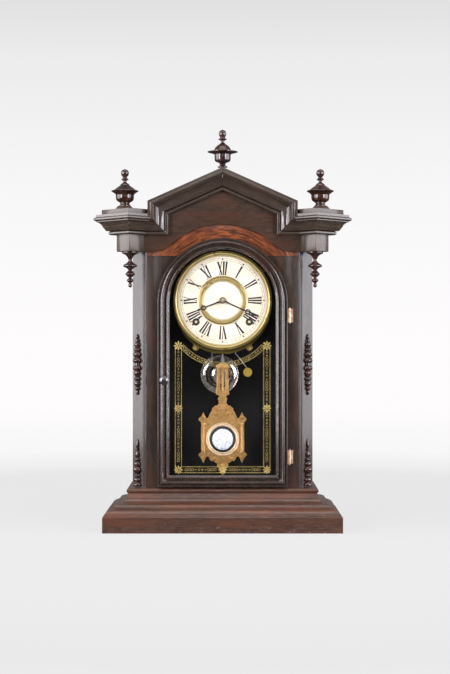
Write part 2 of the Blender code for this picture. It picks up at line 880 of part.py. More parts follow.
def make_hinges():
    half = HINGE_LENGTH / 2
    third = HINGE_LENGTH / 6
    leaf_start = KNUCKLE + 0.0004
    for level, height in HINGE_HEIGHTS.items():
        at = (HINGE_X, HINGE_DEPTH, height)
        plate_back = -HINGE_DEPTH - GAP
        name = f"hinge_{level}_case_leaf"
        plate = box(name, leaf_start, CASE_LEAF, plate_back - 0.0010, plate_back, -half, half, BRASS, at)
        tongue = box(
            f"{name}_tongue",
            0,
            leaf_start + 0.0005,
            plate_back - 0.0010,
            plate_back - 0.0001,
            -third + GAP,
            third - GAP,
            BRASS,
            at,
        )
        barrel = upright(f"{name}_barrel", KNUCKLE, -third + GAP, third - GAP, BRASS, at)
        pin = upright(f"{name}_pin", HINGE_PIN, -half - 0.0012, half + 0.0012, BRASS, at)
        for piece in (tongue, barrel, pin):
            combine(plate, piece, "UNION")

        name = f"hinge_{level}_door_leaf"
        edge = DOOR_HALF + GAP - HINGE_X
        plate = box(name, edge, edge + 0.0006, -0.0062, 0.0010, -half, half, BRASS, at)
        for number, sign in ((1, -1), (2, 1)):
            low, high = sorted((sign * (third + 0.0001), sign * half))
            tab = box(
                f"{name}_tab_{number}",
                edge + 0.0002,
                -HINGE_PIN - 0.0006,
                -0.0005,
                0.0005,
                low,
                high,
                BRASS,
                at,
            )
            tube = upright(f"{name}_tube_{number}", KNUCKLE, low, high, BRASS, at, HINGE_PIN + GAP)
            combine(plate, tab, "UNION")
            combine(plate, tube, "UNION")


# ---------------------------------------------------------------- dial

def make_dial():
    at = (0, 0, DIAL_HEIGHT)
    outer, inner = BEZEL_OUTER, BEZEL_INNER
    front = 0.0012
    back = DIAL_DEPTH + DIAL_THICK
    bezel = [
        (outer, back),
        (outer, front + 0.0034),
        (outer - 0.0008, front + 0.0018),
        (outer - 0.0022, front + 0.0010),
        (outer - 0.0034, front + 0.0003),
        (outer - 0.0046, front),
        (outer - 0.0056, front + 0.0016),
        (outer - 0.0064, front + 0.0018),
        (inner, front + 0.0044),
        (inner, DIAL_DEPTH - GAP),
        (outer - 0.0012, DIAL_DEPTH - GAP),
        (outer - 0.0012, back),
    ]
    turned("dial_bezel", bezel, BRASS, at, "Y", 36)

    plate = rod(
        "dial_plate", outer - 0.0015, DIAL_DEPTH, DIAL_DEPTH + DIAL_THICK, PAPER, at, 36
    )
    holes = [(0, 0, HOUR_PIPE[1] + 0.0006)]
    holes += [(sign * WINDING_X, -WINDING_DROP, WINDING_HOLE) for sign in (-1, 1)]
    combine(plate, hole_cutter("dial_holes", holes, 0, DIAL_DEPTH + 0.01, at), "DIFFERENCE")

    ring = [
        (CENTRE_RING[0], DIAL_DEPTH - GAP),
        (CENTRE_RING[0], DIAL_DEPTH - 0.0008),
        (CENTRE_RING[0] + 0.0012, DIAL_DEPTH - 0.0012),
        (CENTRE_RING[1] - 0.0012, DIAL_DEPTH - 0.0012),
        (CENTRE_RING[1], DIAL_DEPTH - 0.0008),
        (CENTRE_RING[1], DIAL_DEPTH - GAP),
    ]
    turned("dial_centre_ring", ring, BRASS, at, "Y", 28)
    make_pan(at, back + GAP)


def make_pan(at, front):
    """A flanged skirt, drawn back and down to its rim, with two ears for its screws."""
    wall = 0.0008
    outer = BEZEL_OUTER - 0.0003
    section = [
        (outer, front, 0.0),
        (outer, PAN_BACK, PAN_DROP),
        (outer - wall, PAN_BACK, PAN_DROP),
        (outer - wall, front + wall, 0.0005),
        (outer - 0.0110, front + wall, 0.0),
        (outer - 0.0110, front, 0.0),
    ]
    steps = 36
    rings = []
    for step in range(steps):
        angle = 2 * pi * step / steps
        ring = []
        for radius, depth, drop in section:
            ring.append((radius * cos(angle), depth, radius * sin(angle) - drop))
        rings.append(ring)
    pan = finish("dial_pan", looped(rings, False), BRASS, place(*at), 40)
    for side, sign in (("left", -1), ("right", 1)):
        out = radians(-90 + sign * 32)
        ear = [
            (outer - 0.0020, -0.0030),
            (outer + 0.0030, -0.0040),
            (outer + 0.0070, -0.0055),
            (outer + 0.0058, 0.0),
            (outer + 0.0070, 0.0055),
            (outer + 0.0030, 0.0040),
            (outer - 0.0020, 0.0030),
        ]
        outline = []
        for along, across in ear:
            x = along * cos(out) - across * sin(out)
            z = along * sin(out) + across * cos(out) - PAN_DROP
            outline.append((x, z))
        piece = front_prism(f"pan_ear_{side}", outline, PAN_BACK - 0.0009, PAN_BACK - 0.0001, BRASS, at)
        combine(pan, piece, "UNION")


def hole_cutter(name, holes, depth0, depth1, at, segments=10):
    """Separate round cutters along Y from (x, z, radius)."""
    data = bmesh.new()
    for x, z, radius in holes:
        rings = []
        for depth in (depth0, depth1):
            ring = []
            for step in range(segments):
                angle = 2 * pi * step / segments
                ring.append(data.verts.new((x + radius * cos(angle), depth, z + radius * sin(angle))))
            rings.append(ring)
        data.faces.new(rings[0])
        data.faces.new(list(reversed(rings[1])))
        for i in range(segments):
            j = (i + 1) % segments
            data.faces.new((rings[0][i], rings[1][i], rings[1][j], rings[0][j]))
    return finish(name, data, STEEL, place(*at))


def hand_outline(ring_at, ring_outer, tip, collet):
    """Half-outline widths of a hand along its length, from the collet to the tip."""
    start = collet * 0.8
    neck = 0.0007
    half = [(start, 0.0013), (ring_at - ring_outer - 0.0030, neck)]
    for step in range(9):
        angle = pi - pi * step / 8
        if 0 < step < 8:
            half.append((ring_at + ring_outer * cos(angle), max(neck, ring_outer * sin(angle))))
    half.append((ring_at + ring_outer + 0.0012, neck))
    half.append((ring_at + ring_outer + 0.0042, 0.0016))
    half.append((tip, 0.0002))
    return half


def make_hand(name, depth, thick, ring_at, ring_outer, tip, collet, bore, angle):
    """A hand pointing up before it is turned by its angle, clockwise from the front."""
    at = (0, 0, DIAL_HEIGHT)
    half = hand_outline(ring_at, ring_outer, tip, collet)
    outline = [(w, z) for z, w in half] + [(-w, z) for z, w in reversed(half)]
    hand = front_prism(name, outline, depth, depth + thick, BLACK, at)
    hub = turned(
        f"{name}_hub",
        [
            (bore, depth - 0.0006),
            (collet, depth - 0.0006),
            (collet, depth + thick),
            (bore, depth + thick),
        ],
        BLACK,
        at,
        "Y",
        12,
    )
    ring_hole = hole_cutter(
        f"{name}_ring_hole",
        [(0, ring_at, ring_outer - 0.0012)],
        depth - 0.002,
        depth + thick + 0.002,
        at,
    )
    bore_hole = hole_cutter(f"{name}_bore", [(0, 0, bore)], depth - 0.002, depth + 0.004, at, 12)
    combine(hand, ring_hole, "DIFFERENCE")
    combine(hand, bore_hole, "DIFFERENCE")
    combine(hand, hub, "UNION")
    for piece in (hand, hub, ring_hole, bore_hole):
        piece.rotation_euler = (0, angle, 0)
    return hand


def make_hands():
    make_hand(
        "minute_hand", 0.0032, 0.0008, 0.0348, 0.0036, 0.0510, 0.0041, CENTRE_ARBOR + GAP, MINUTE_ANGLE
    )
    hour = make_hand(
        "hour_hand", 0.0050, 0.0008, 0.0258, 0.0034, 0.0340, 0.0038, HOUR_PIPE[0], HOUR_ANGLE
    )
    pipe = turned(
        "hour_pipe",
        [
            (HOUR_PIPE[0], 0.0046),
            (HOUR_PIPE[1], 0.0046),
            (HOUR_PIPE[1], FRONT_PLATE - 0.0005),
            (HOUR_PIPE[0], FRONT_PLATE - 0.0005),
        ],
        BRASS,
        (0, 0, DIAL_HEIGHT),
        "Y",
        12,
    )
    combine(hour, pipe, "UNION")


# ---------------------------------------------------------------- movement

CENTRE = (0.0, DIAL_HEIGHT)
TIME_GREAT = (WINDING_X, DIAL_HEIGHT - WINDING_DROP)
STRIKE_GREAT = (-WINDING_X, DIAL_HEIGHT - WINDING_DROP)
GREAT_MODULE = 0.00075
SECOND_MODULE = 0.00078
CENTRE_MODULE = 0.00050
FOURTH_MODULE = 0.00045
STRIKE_MODULE = 0.00060
CAM_MODULE = 0.00050
# Wheels with at least this many teeth have pointed ones.
POINTED_TEETH = 40


def meeting(first, first_distance, second, second_distance, side):
    """The point at these distances from two others, on the given side of the line between them."""
    line = Vector((second[0] - first[0], second[1] - first[1]))
    span = line.length
    line.normalize()
    along = (first_distance**2 - second_distance**2 + span**2) / (2 * span)
    across = sqrt(first_distance**2 - along**2) * side
    return (
        first[0] + along * line.x - across * line.y,
        first[1] + along * line.y + across * line.x,
    )


TIME_SECOND = meeting(TIME_GREAT, GREAT_MODULE * 28, CENTRE, SECOND_MODULE * 30, -1)
FOURTH = (0.0, DIAL_HEIGHT - CENTRE_MODULE * 39)
ESCAPE = (0.0, FOURTH[1] - FOURTH_MODULE * 38)
VERGE = (0.0, ESCAPE[1] - 0.0170)
PENDULUM_HEIGHT = VERGE[1]
HAMMER = (0.0140, VERGE[1] - 0.0010)
TRIP = (-0.0130, VERGE[1] - 0.0010)
STRIKE_SECOND = (-TIME_SECOND[0], TIME_SECOND[1])
STRIKE_CAM = (STRIKE_SECOND[0], STRIKE_SECOND[1] + STRIKE_MODULE * 24)
FLY = (STRIKE_CAM[0] - CAM_MODULE * 24 * 0.6, STRIKE_CAM[1] + CAM_MODULE * 24 * 0.8)


def gear_outline(teeth, module, phase):
    """Trapezoid teeth, slim enough to roll through their mates with clearance."""
    pitch = 2 * pi / teeth
    outer = module * (teeth / 2 + 0.75)
    root = module * (teeth / 2 - 1.20)
    points = []
    flat = 0.08 if teeth < POINTED_TEETH else 0.0
    corners = [(root, -0.19), (outer, -flat), (outer, flat), (root, 0.19)]
    if flat == 0.0:
        del corners[2]
    for tooth in range(teeth):
        middle = phase + tooth * pitch
        for radius, share in corners:
            angle = middle + share * pitch
            points.append((radius * cos(angle), radius * sin(angle)))
    return points


def mating_phase(first, first_teeth, first_phase, second, second_teeth):
    """Phase that puts the second gear's spaces on the first gear's teeth."""
    direction = atan2(second[1] - first[1], second[0] - first[0])
    first_pitch = 2 * pi / first_teeth
    second_pitch = 2 * pi / second_teeth
    return direction + pi + second_pitch * ((direction - first_phase) / first_pitch - 0.5)


def make_arbor(name, centre, depth0, depth1, radius, gears, spec=BRASS, tip=None):
    """An arbor with its wheels and pinions: gears holds (teeth, module, phase, depth0, depth1)."""
    at = (centre[0], 0, centre[1])
    profile = [(0, depth0 - 0.0012), (PIVOT, depth0 - 0.0012), (PIVOT, depth0), (radius, depth0)]
    if tip is not None:
        profile = [(0, tip), (radius, tip)]
    profile += [(radius, depth1), (PIVOT, depth1), (PIVOT, depth1 + 0.0012), (0, depth1 + 0.0012)]
    arbor = turned(name, profile, spec, at, "Y", 10)
    for number, (teeth, module, phase, start, end) in enumerate(gears):
        gear = front_prism(f"{name}_gear_{number}", gear_outline(teeth, module, phase), start, end, spec, at)
        combine(arbor, gear, "UNION")
    return arbor


def make_trains():
    inside = FRONT_PLATE + PLATE_THICK
    front = inside + GAP
    back = BACK_PLATE - GAP
    great = (0.0460, 0.0480)
    second = (0.0495, 0.0505)
    middle = (0.0263, 0.0273)
    fore = (0.0242, 0.0252)
    for side, centre in (("time", TIME_GREAT), ("strike", STRIKE_GREAT)):
        at = (centre[0], 0, centre[1])
        wheel = front_prism(
            f"{side}_great_wheel", gear_outline(48, GREAT_MODULE, 0), great[0], great[1], BRASS, at
        )
        bore = hole_cutter(
            f"{side}_great_bore", [(0, 0, WINDING_ARBOR + GAP)], great[0] - 0.01, great[1] + 0.01, at, 16
        )
        combine(wheel, bore, "DIFFERENCE")
        ratchet = []
        for tooth in range(16):
            angle = 2 * pi * tooth / 16
            ratchet.append((0.0085 * cos(angle), 0.0085 * sin(angle)))
            angle += 2 * pi / 16 * 0.9
            ratchet.append((0.0070 * cos(angle), 0.0070 * sin(angle)))
        arbor = turned(
            f"{side}_winding_arbor",
            [
                (0, DIAL_DEPTH + DIAL_THICK + 0.0010),
                (WINDING_ARBOR, DIAL_DEPTH + DIAL_THICK + 0.0010),
                (WINDING_ARBOR, back),
                (PIVOT, back),
                (PIVOT, back + 0.0012),
                (0, back + 0.0012),
            ],
            STEEL,
            at,
            "Y",
            12,
        )
        disc = front_prism(f"{side}_ratchet", ratchet, great[0] - 0.0014, great[0] - 0.0004, STEEL, at)
        combine(arbor, disc, "UNION")
        make_mainspring(f"{side}_mainspring", at)

    phase = mating_phase(TIME_GREAT, 48, 0, TIME_SECOND, 8)
    gears = [
        (8, GREAT_MODULE, phase, great[0] - 0.0004, great[1] + 0.0004),
        (40, SECOND_MODULE, 0, *second),
    ]
    make_arbor("time_second_wheel", TIME_SECOND, front, back, ARBOR, gears)
    phase = mating_phase(TIME_SECOND, 40, 0, CENTRE, 20)
    gears = [
        (20, SECOND_MODULE, phase, second[0] - 0.0002, second[1] + 0.0002),
        (72, CENTRE_MODULE, 0, *middle),
    ]
    make_arbor("centre_wheel", CENTRE, front, back, CENTRE_ARBOR, gears, tip=0.0018)
    phase = mating_phase(CENTRE, 72, 0, FOURTH, 6)
    gears = [
        (6, CENTRE_MODULE, phase, middle[0] - 0.0003, middle[1] + 0.0003),
        (70, FOURTH_MODULE, 0, *fore),
    ]
    make_arbor("fourth_wheel", FOURTH, front, back, 0.0008, gears)
    make_escapement(front, back, mating_phase(FOURTH, 70, 0, ESCAPE, 6), fore)

    phase = mating_phase(STRIKE_GREAT, 48, 0, STRIKE_SECOND, 8)
    gears = [
        (8, GREAT_MODULE, phase, great[0] - 0.0004, great[1] + 0.0004),
        (40, STRIKE_MODULE, 0, *second),
    ]
    make_arbor("strike_second_wheel", STRIKE_SECOND, front, back, ARBOR, gears)
    phase = mating_phase(STRIKE_SECOND, 40, 0, STRIKE_CAM, 8)
    gears = [
        (8, STRIKE_MODULE, phase, second[0] - 0.0002, second[1] + 0.0002),
        (42, CAM_MODULE, 0, *fore),
    ]
    cam = make_arbor("strike_cam_wheel", STRIKE_CAM, front, back, ARBOR, gears)
    lobes = []
    for step in range(20):
        angle = 2 * pi * step / 20
        lobes.append(((0.0042 + 0.0010 * cos(5 * angle)) * cos(angle), 0.0))
        lobes[-1] = (lobes[-1][0], (0.0042 + 0.0010 * cos(5 * angle)) * sin(angle))
    disc = front_prism("strike_cam", lobes, 0.0300, 0.0314, BRASS, (STRIKE_CAM[0], 0, STRIKE_CAM[1]))
    combine(cam, disc, "UNION")
    phase = mating_phase(STRIKE_CAM, 42, 0, FLY, 6)
    gears = [(6, CAM_MODULE, phase, fore[0] - 0.0003, fore[1] + 0.0003)]
    fly = make_arbor("strike_fly", FLY, front, back, 0.0007, gears)
    vane = box("fly_vane", -0.0085, 0.0085, 0.0330, 0.0430, -0.0003, 0.0003, BRASS, (FLY[0], 0, FLY[1]))
    combine(fly, vane, "UNION")


def make_mainspring(name, at):
    """An open coil of spring strip round the winding arbor, from its eye to its outer hook."""
    turns = 4
    per_turn = 14
    inner_radius = WINDING_ARBOR + 0.0010
    outer_radius = 0.0165
    strip = 0.0006
    inner_side = []
    outer_side = []
    count = turns * per_turn
    for step in range(count + 1):
        angle = 2 * pi * step / per_turn
        radius = inner_radius + (outer_radius - inner_radius) * step / count
        inner_side.append((radius * cos(angle), radius * sin(angle)))
        outer_side.append(((radius + strip) * cos(angle), (radius + strip) * sin(angle)))
    outline = inner_side + list(reversed(outer_side))
    front_prism(name, outline, 0.0300, 0.0430, STEEL, at)


def make_escapement(front, back, phase, fore):
    gears = [(6, FOURTH_MODULE, phase, fore[0] - 0.0003, fore[1] + 0.0003)]
    wheel = make_arbor("escape_wheel", ESCAPE, front, back, 0.0007, gears)
    radius = 0.0130
    points = []
    for tooth in range(36):
        angle = 2 * pi * tooth / 36
        step = 2 * pi / 36
        points.append(((radius - 0.0020) * cos(angle), (radius - 0.0020) * sin(angle)))
        points.append(((radius - 0.0020) * cos(angle + 0.5 * step), (radius - 0.0020) * sin(angle + 0.5 * step)))
        points.append((radius * cos(angle + 0.85 * step), radius * sin(angle + 0.85 * step)))
    rim = front_prism("escape_rim", points, 0.0283, 0.0291, BRASS, (ESCAPE[0], 0, ESCAPE[1]))
    combine(wheel, rim, "UNION")

    at = (VERGE[0], 0, VERGE[1])
    profile = [
        (0, front - 0.0040),
        (PIVOT, front - 0.0040),
        (PIVOT, front + 0.0005),
        (0.0012, front + 0.0005),
        (0.0012, back),
        (PIVOT, back),
        (PIVOT, back + 0.0012),
        (0, back + 0.0012),
    ]
    verge = turned("verge", profile, STEEL, at, "Y", 10)
    # The pallets stay clear of the teeth through the whole swing.
    reach = radius + 0.0015
    spread = radians(50)
    tip = (reach * sin(spread), ESCAPE[1] - VERGE[1] - reach * cos(spread))
    strip = 0.0010
    right = [
        (0.0, -0.0026),
        (0.0060, 0.0002),
        (0.0118, 0.0040),
        (tip[0] + strip * 0.9, tip[1] - strip * 0.3),
        tip,
        (0.0102, 0.0048),
        (0.0056, 0.0022),
        (0.0, 0.0016),
    ]
    outline = right + [(-x, z) for x, z in reversed(right[1:-1])]
    anchor = front_prism("verge_strip", outline, 0.0278, 0.0296, STEEL, at)
    combine(verge, anchor, "UNION")
    # The crutch hangs in front of the plate and its loop goes round the pendulum rod.
    wire = 0.0006
    crutch_depth = front - 0.0032
    drop = -0.0125
    crutch = box("crutch_wire", -wire, wire, crutch_depth - wire, crutch_depth + wire, drop, 0.0003, STEEL, at)
    loop_half = 0.0034
    loop_front = PENDULUM_DEPTH - 0.0022
    loop_outer = [
        (-loop_half, crutch_depth + wire),
        (loop_half, crutch_depth + wire),
        (loop_half, loop_front),
        (-loop_half, loop_front),
    ]
    inner_half = loop_half - 2 * wire
    loop_hole = [
        (-inner_half, crutch_depth - wire),
        (inner_half, crutch_depth - wire),
        (inner_half, loop_front + 2 * wire),
        (-inner_half, loop_front + 2 * wire),
    ]
    loop = plan_prism("crutch_loop", loop_outer, drop - 2 * wire, drop + 0.0001, STEEL, at)
    hole = plan_prism("crutch_loop_hole", loop_hole, drop - 0.01, drop + 0.01, STEEL, at)
    combine(loop, hole, "DIFFERENCE")
    combine(verge, crutch, "UNION")
    combine(verge, loop, "UNION")


def make_plates():
    right = [(PLATE_CANT_X, PLATE_BOTTOM), (PLATE_HALF, PLATE_CANT_Z), (PLATE_HALF, PLATE_TOP)]
    outline = right + mirror_x(list(reversed(right)))
    at = (0, 0, 0)
    pivots = [TIME_SECOND, FOURTH, ESCAPE, STRIKE_SECOND, STRIKE_CAM, FLY, HAMMER, TRIP, VERGE]
    small = [(x, z, PIVOT + GAP) for x, z in pivots]
    front = front_prism("front_plate", outline, FRONT_PLATE, FRONT_PLATE + PLATE_THICK, BRASS, at)
    large = [(*CENTRE, CENTRE_ARBOR + GAP)]
    large += [(x, z, WINDING_ARBOR + GAP) for x, z in (TIME_GREAT, STRIKE_GREAT)]
    cutter = hole_cutter("front_plate_holes", small + large, FRONT_PLATE - 0.01, FRONT_PLATE + 0.01, at)
    combine(front, cutter, "DIFFERENCE")

    back = front_prism("back_plate", outline, BACK_PLATE, BACK_PLATE + PLATE_THICK, BRASS, at)
    more = [(x, z, PIVOT + GAP) for x, z in (CENTRE, TIME_GREAT, STRIKE_GREAT)]
    cutter = hole_cutter("back_plate_holes", small + more, BACK_PLATE - 0.01, BACK_PLATE + 0.01, at)
    combine(back, cutter, "DIFFERENCE")
    wall = CASE_DEPTH - BACK_REBATE - BACKBOARD - GAP
    lower = (LOWER_PILLAR_X, PLATE_BOTTOM + 0.0055)
    upper = (PLATE_HALF - PILLAR_INSET, PLATE_TOP - PILLAR_INSET)
    corners = (lower, upper)
    for number, (x, z) in enumerate((sign * x, z) for sign in (-1, 1) for x, z in corners):
        start = FRONT_PLATE + PLATE_THICK + GAP
        post = rod(f"pillar_{number}", PILLAR, start, wall, BRASS, at)
        post.location = place(x, 0, z)
        combine(back, post, "UNION")


def make_pendulum():
    at = (0, PENDULUM_DEPTH, PENDULUM_HEIGHT)
    wall = FRONT_PLATE - GAP - PENDULUM_DEPTH
    cock = box("suspension_cock", -0.0040, 0.0040, wall - 0.0010, wall, 0.0040, 0.0170, BRASS, at)
    arm = box("cock_arm", -0.0028, 0.0028, -0.0022, wall - 0.0002, 0.0080, 0.0120, BRASS, at)
    slot = box("cock_slot", -0.0014, 0.0014, -0.01, 0.0016, 0.0060, 0.0140, BRASS, at)
    combine(arm, slot, "DIFFERENCE")
    combine(cock, arm, "UNION")

    half = 0.0023
    thin = 0.0004
    low = ROD_LOW - PENDULUM_HEIGHT
    outline = [
        (-0.0001, -0.0020),
        (-0.0001, 0.0115),
        (0.0001, 0.0115),
        (0.0001, -0.0020),
        (0.0009, -0.0040),
        (0.0009, -0.0180),
        (half, -0.0200),
        (half, low + 0.0300),
        (0.0006, low + 0.0280),
        (0.0006, low),
        (-0.0006, low),
        (-0.0006, low + 0.0280),
        (-half, low + 0.0300),
        (-half, -0.0200),
        (-0.0009, -0.0180),
        (-0.0009, -0.0040),
    ]
    front_prism("pendulum_rod", outline, -thin, thin, STEEL, at)
    make_bob(at)

BOB_OUTLINE = [
    (0.0000, 0.1528),
    (0.0061, 0.1528),
    (0.0063, 0.1538),
    (0.0133, 0.1537),
    (0.0133, 0.1511),
    (0.0161, 0.1445),
    (0.0188, 0.1390),
    (0.0218, 0.1410),
    (0.0245, 0.1471),
    (0.0273, 0.1410),
    (0.0306, 0.1379),
    (0.0275, 0.1344),
    (0.0272, 0.1322),
    (0.0272, 0.0956),
    (0.0306, 0.0932),
    (0.0273, 0.0888),
    (0.0244, 0.0826),
    (0.0216, 0.0890),
    (0.0182, 0.0912),
    (0.0151, 0.0861),
    (0.0106, 0.0845),
    (0.0067, 0.0826),
    (0.0050, 0.0764),
    (0.0000, 0.0670),
]

LEADER_OUTLINE = [
    (0.0000, 0.2108),
    (0.0040, 0.2101),
    (0.0082, 0.2062),
    (0.0076, 0.2023),
    (0.0076, 0.1727),
    (0.0085, 0.1723),
    (0.0085, 0.1691),
    (0.0048, 0.1689),
    (0.0048, 0.1647),
    (0.0061, 0.1638),
    (0.0061, 0.1520),
    (0.0000, 0.1520),
]


def make_bob(at):
    """Gilt casting: a pierced leader over the rod, and a framed window below it."""
    low = PENDULUM_HEIGHT
    bob_face = -BOB_THICK / 2
    bob_back = BOB_THICK / 2
    body = mirrored([(x, z - low) for x, z in BOB_OUTLINE])
    bob = front_prism("pendulum_bob", body, bob_face, bob_back, GILT, at)
    leader_back = -0.0004 - GAP
    leader = mirrored([(x, z - low) for x, z in LEADER_OUTLINE])
    leader = front_prism("bob_leader", leader, leader_back - 0.0022, leader_back, GILT, at)
    for number, sign in ((1, -1), (2, 1)):
        low_x, high_x = sorted((sign * 0.0022, sign * 0.0040))
        slot = box(f"leader_slot_{number}", low_x, high_x, -0.02, 0.02, 0.1743 - low, 0.2000 - low, GILT, at)
        combine(leader, slot, "DIFFERENCE")
    combine(bob, leader, "UNION")
    window = (0, BOB_CENTRE - low)
    face = (0, PENDULUM_DEPTH, BOB_CENTRE)
    rim = turned(
        "bob_rim",
        [
            (0.0148, bob_face + 0.0010),
            (0.0148, bob_face - 0.0014),
            (0.0168, bob_face - 0.0024),
            (0.0190, bob_face - 0.0014),
            (0.0212, bob_face - 0.0004),
            (0.0212, bob_face + 0.0010),
        ],
        GILT,
        face,
        "Y",
        28,
    )
    combine(bob, rim, "UNION")
    recess = hole_cutter("bob_recess", [(*window, MIRROR_RADIUS + GAP)], -0.02, bob_face + 0.0020, at, 36)
    combine(bob, recess, "DIFFERENCE")
    rod(
        "pendulum_mirror",
        MIRROR_RADIUS,
        bob_face + 0.0005,
        bob_face + 0.0020 - GAP,
        NICKEL,
        face,
        36,
    )


def make_strike():
    """Hammer, its bell and stand, and the wire that trips the strike."""
    inside = FRONT_PLATE + PLATE_THICK + GAP
    back = BACK_PLATE - GAP
    at = (HAMMER[0], 0, HAMMER[1])
    hammer = make_arbor("hammer", HAMMER, inside, back, 0.0010, [], STEEL)
    depth = BELL_RIM - 0.0008
    path = [(0.0, 0.0), (0.0026, -0.0130), (0.0088, -0.0200), (0.0166, -0.0308), (0.0180, -0.0345)]
    wire = 0.0006
    left = []
    right = []
    for i, (x, z) in enumerate(path):
        before = path[max(i - 1, 0)]
        after = path[min(i + 1, len(path) - 1)]
        run = Vector((after[0] - before[0], after[1] - before[1])).normalized()
        left.append((x - run.y * wire, z + run.x * wire))
        right.append((x + run.y * wire, z - run.x * wire))
    stem = front_prism("hammer_stem", left + list(reversed(right)), depth - wire, depth + wire, STEEL, at)
    combine(hammer, stem, "UNION")
    head = rod("hammer_head", 0.0057, depth - 0.0022, depth + 0.0022, BRASS, at, 20)
    head.location = place(HAMMER[0] + 0.0182, 0, HAMMER[1] - 0.0369)
    combine(hammer, head, "UNION")

    trip = make_arbor("strike_trip_wire", TRIP, inside, back, 0.0008, [], STEEL)
    hang = [(-0.0005, 0.0), (-0.0018, -0.0281), (-0.0006, -0.0281), (0.0007, 0.0)]
    stem = front_prism("trip_stem", hang, 0.0300, 0.0312, STEEL, (TRIP[0], 0, TRIP[1]))
    combine(trip, stem, "UNION")

    wall = 0.0015
    outside = []
    inner = []
    steps = 5
    for step in range(steps + 1):
        angle = pi / 2 * step / steps
        outside.append((BELL_RADIUS * sin(angle), BELL_RIM - (BELL_RIM - BELL_FRONT) * cos(angle)))
        inner.append(
            ((BELL_RADIUS - wall) * sin(angle), BELL_RIM - (BELL_RIM - BELL_FRONT - wall) * cos(angle))
        )
    bell_at = (BELL_X, 0, BELL_HEIGHT)
    turned("bell", outside + list(reversed(inner)), NICKEL, bell_at, "Y", 28)
    wall_depth = CASE_DEPTH - BACK_REBATE - BACKBOARD - GAP
    stand = [
        (0, BELL_FRONT + wall + GAP),
        (0.0028, BELL_FRONT + wall + 0.0005),
        (0.0028, wall_depth - 0.0030),
        (0.0090, wall_depth - 0.0030),
        (0.0090, wall_depth),
        (0, wall_depth),
    ]
    turned("bell_stand", stand, STEEL, bell_at, "Y", 12)


def main():
    clear_scene()
    make_base()
    make_sides()
    make_pilasters()
    make_front_frame()
    make_pediment()
    make_crown()
    make_blocks()
    make_top_board()
    make_turnings()
    make_door()
    make_hinges()
    make_dial()
    make_hands()
    make_trains()
    make_plates()
    make_pendulum()
    make_strike()


main()
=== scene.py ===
"""Looks of a wooden parlour clock: mouldings, turnings, dial, gilt pendulum and stencilled glass.

Everything is in metres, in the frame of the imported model. The clock faces -Y, and a depth is
measured backwards from the face of its front frame, as the case maker did.
"""

from math import cos, hypot, pi, radians, sin, sqrt, tan

import bmesh
import bpy
from mathutils import Matrix, Vector


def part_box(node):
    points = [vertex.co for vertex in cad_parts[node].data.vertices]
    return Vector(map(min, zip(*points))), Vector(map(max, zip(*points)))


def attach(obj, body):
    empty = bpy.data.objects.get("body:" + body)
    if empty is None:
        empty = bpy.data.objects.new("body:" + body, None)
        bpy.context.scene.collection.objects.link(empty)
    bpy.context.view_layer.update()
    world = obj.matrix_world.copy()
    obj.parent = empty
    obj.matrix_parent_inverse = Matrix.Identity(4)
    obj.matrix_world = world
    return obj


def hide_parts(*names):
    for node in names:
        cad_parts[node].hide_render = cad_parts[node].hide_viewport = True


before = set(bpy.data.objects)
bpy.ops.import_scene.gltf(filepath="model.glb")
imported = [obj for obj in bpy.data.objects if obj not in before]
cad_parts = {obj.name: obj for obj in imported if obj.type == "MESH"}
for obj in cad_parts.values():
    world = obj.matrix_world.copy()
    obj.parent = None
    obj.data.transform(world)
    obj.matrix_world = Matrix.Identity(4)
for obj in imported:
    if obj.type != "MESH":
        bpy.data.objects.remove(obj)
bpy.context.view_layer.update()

LOW = {name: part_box(name)[0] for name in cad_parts}
HIGH = {name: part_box(name)[1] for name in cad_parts}
FRONT = LOW["front_frame"].y
BACK = HIGH["side_left"].y

# Sizes that no piece's box gives
GAP = 0.0003
WELD = 0.000005
CROWN_REACH = 0.0203
CROWN_TURN_X = 0.0680
CROWN_RISE = 0.0254
RAKE = radians(24.1)
REED_WIDTH = 0.0033
DOOR_WIDTH = 0.0144
REBATE = 0.0032
SPRINGING = 0.0553
BEZEL_WIDTH = 0.0070
CENTRE_RING_INNER = 0.0250
PAN_DROP = 0.0052
MINUTE_ANGLE = radians(114.5)
HOUR_ANGLE = radians(248.5)
PRINT_THICK = 0.00008
PRINT_LIFT = 0.00012


def middle(name):
    return (LOW[name] + HIGH[name]) / 2


# ---------------------------------------------------------------- shader nodes

def colour(code):
    """Linear colour from an sRGB hex value."""
    parts = [int(code[i:i + 2], 16) / 255 for i in (1, 3, 5)]
    return (*[c / 12.92 if c <= 0.04045 else ((c + 0.055) / 1.055) ** 2.4 for c in parts], 1.0)


def add(tree, kind, inputs, stops=(), **settings):
    """Adds one shader node with its settings and links. An input takes a value, or the socket that
    feeds it, and a ramp takes its stops as positions and hex colours."""
    made = tree.nodes.new("ShaderNode" + kind)
    for name, value in settings.items():
        setattr(made, name, value)
    for name, value in inputs.items():
        if isinstance(value, bpy.types.NodeSocket):
            tree.links.new(value, made.inputs[name])
        else:
            made.inputs[name].default_value = value
    if stops:
        ramp = made.color_ramp.elements
        while len(ramp) < len(stops):
            ramp.new(0.5)
        for element, (position, code) in zip(ramp, stops):
            element.position = position
            element.color = colour(code)
    return made


def new_material(name):
    made = bpy.data.materials.new(name)
    made.use_nodes = True
    made.node_tree.nodes.clear()
    return made, made.node_tree


# ---------------------------------------------------------------- finishes

GRAIN = {"X": (90, 620, 620), "Y": (620, 90, 620), "Z": (620, 620, 90), "RUN": (90, 620, 620)}


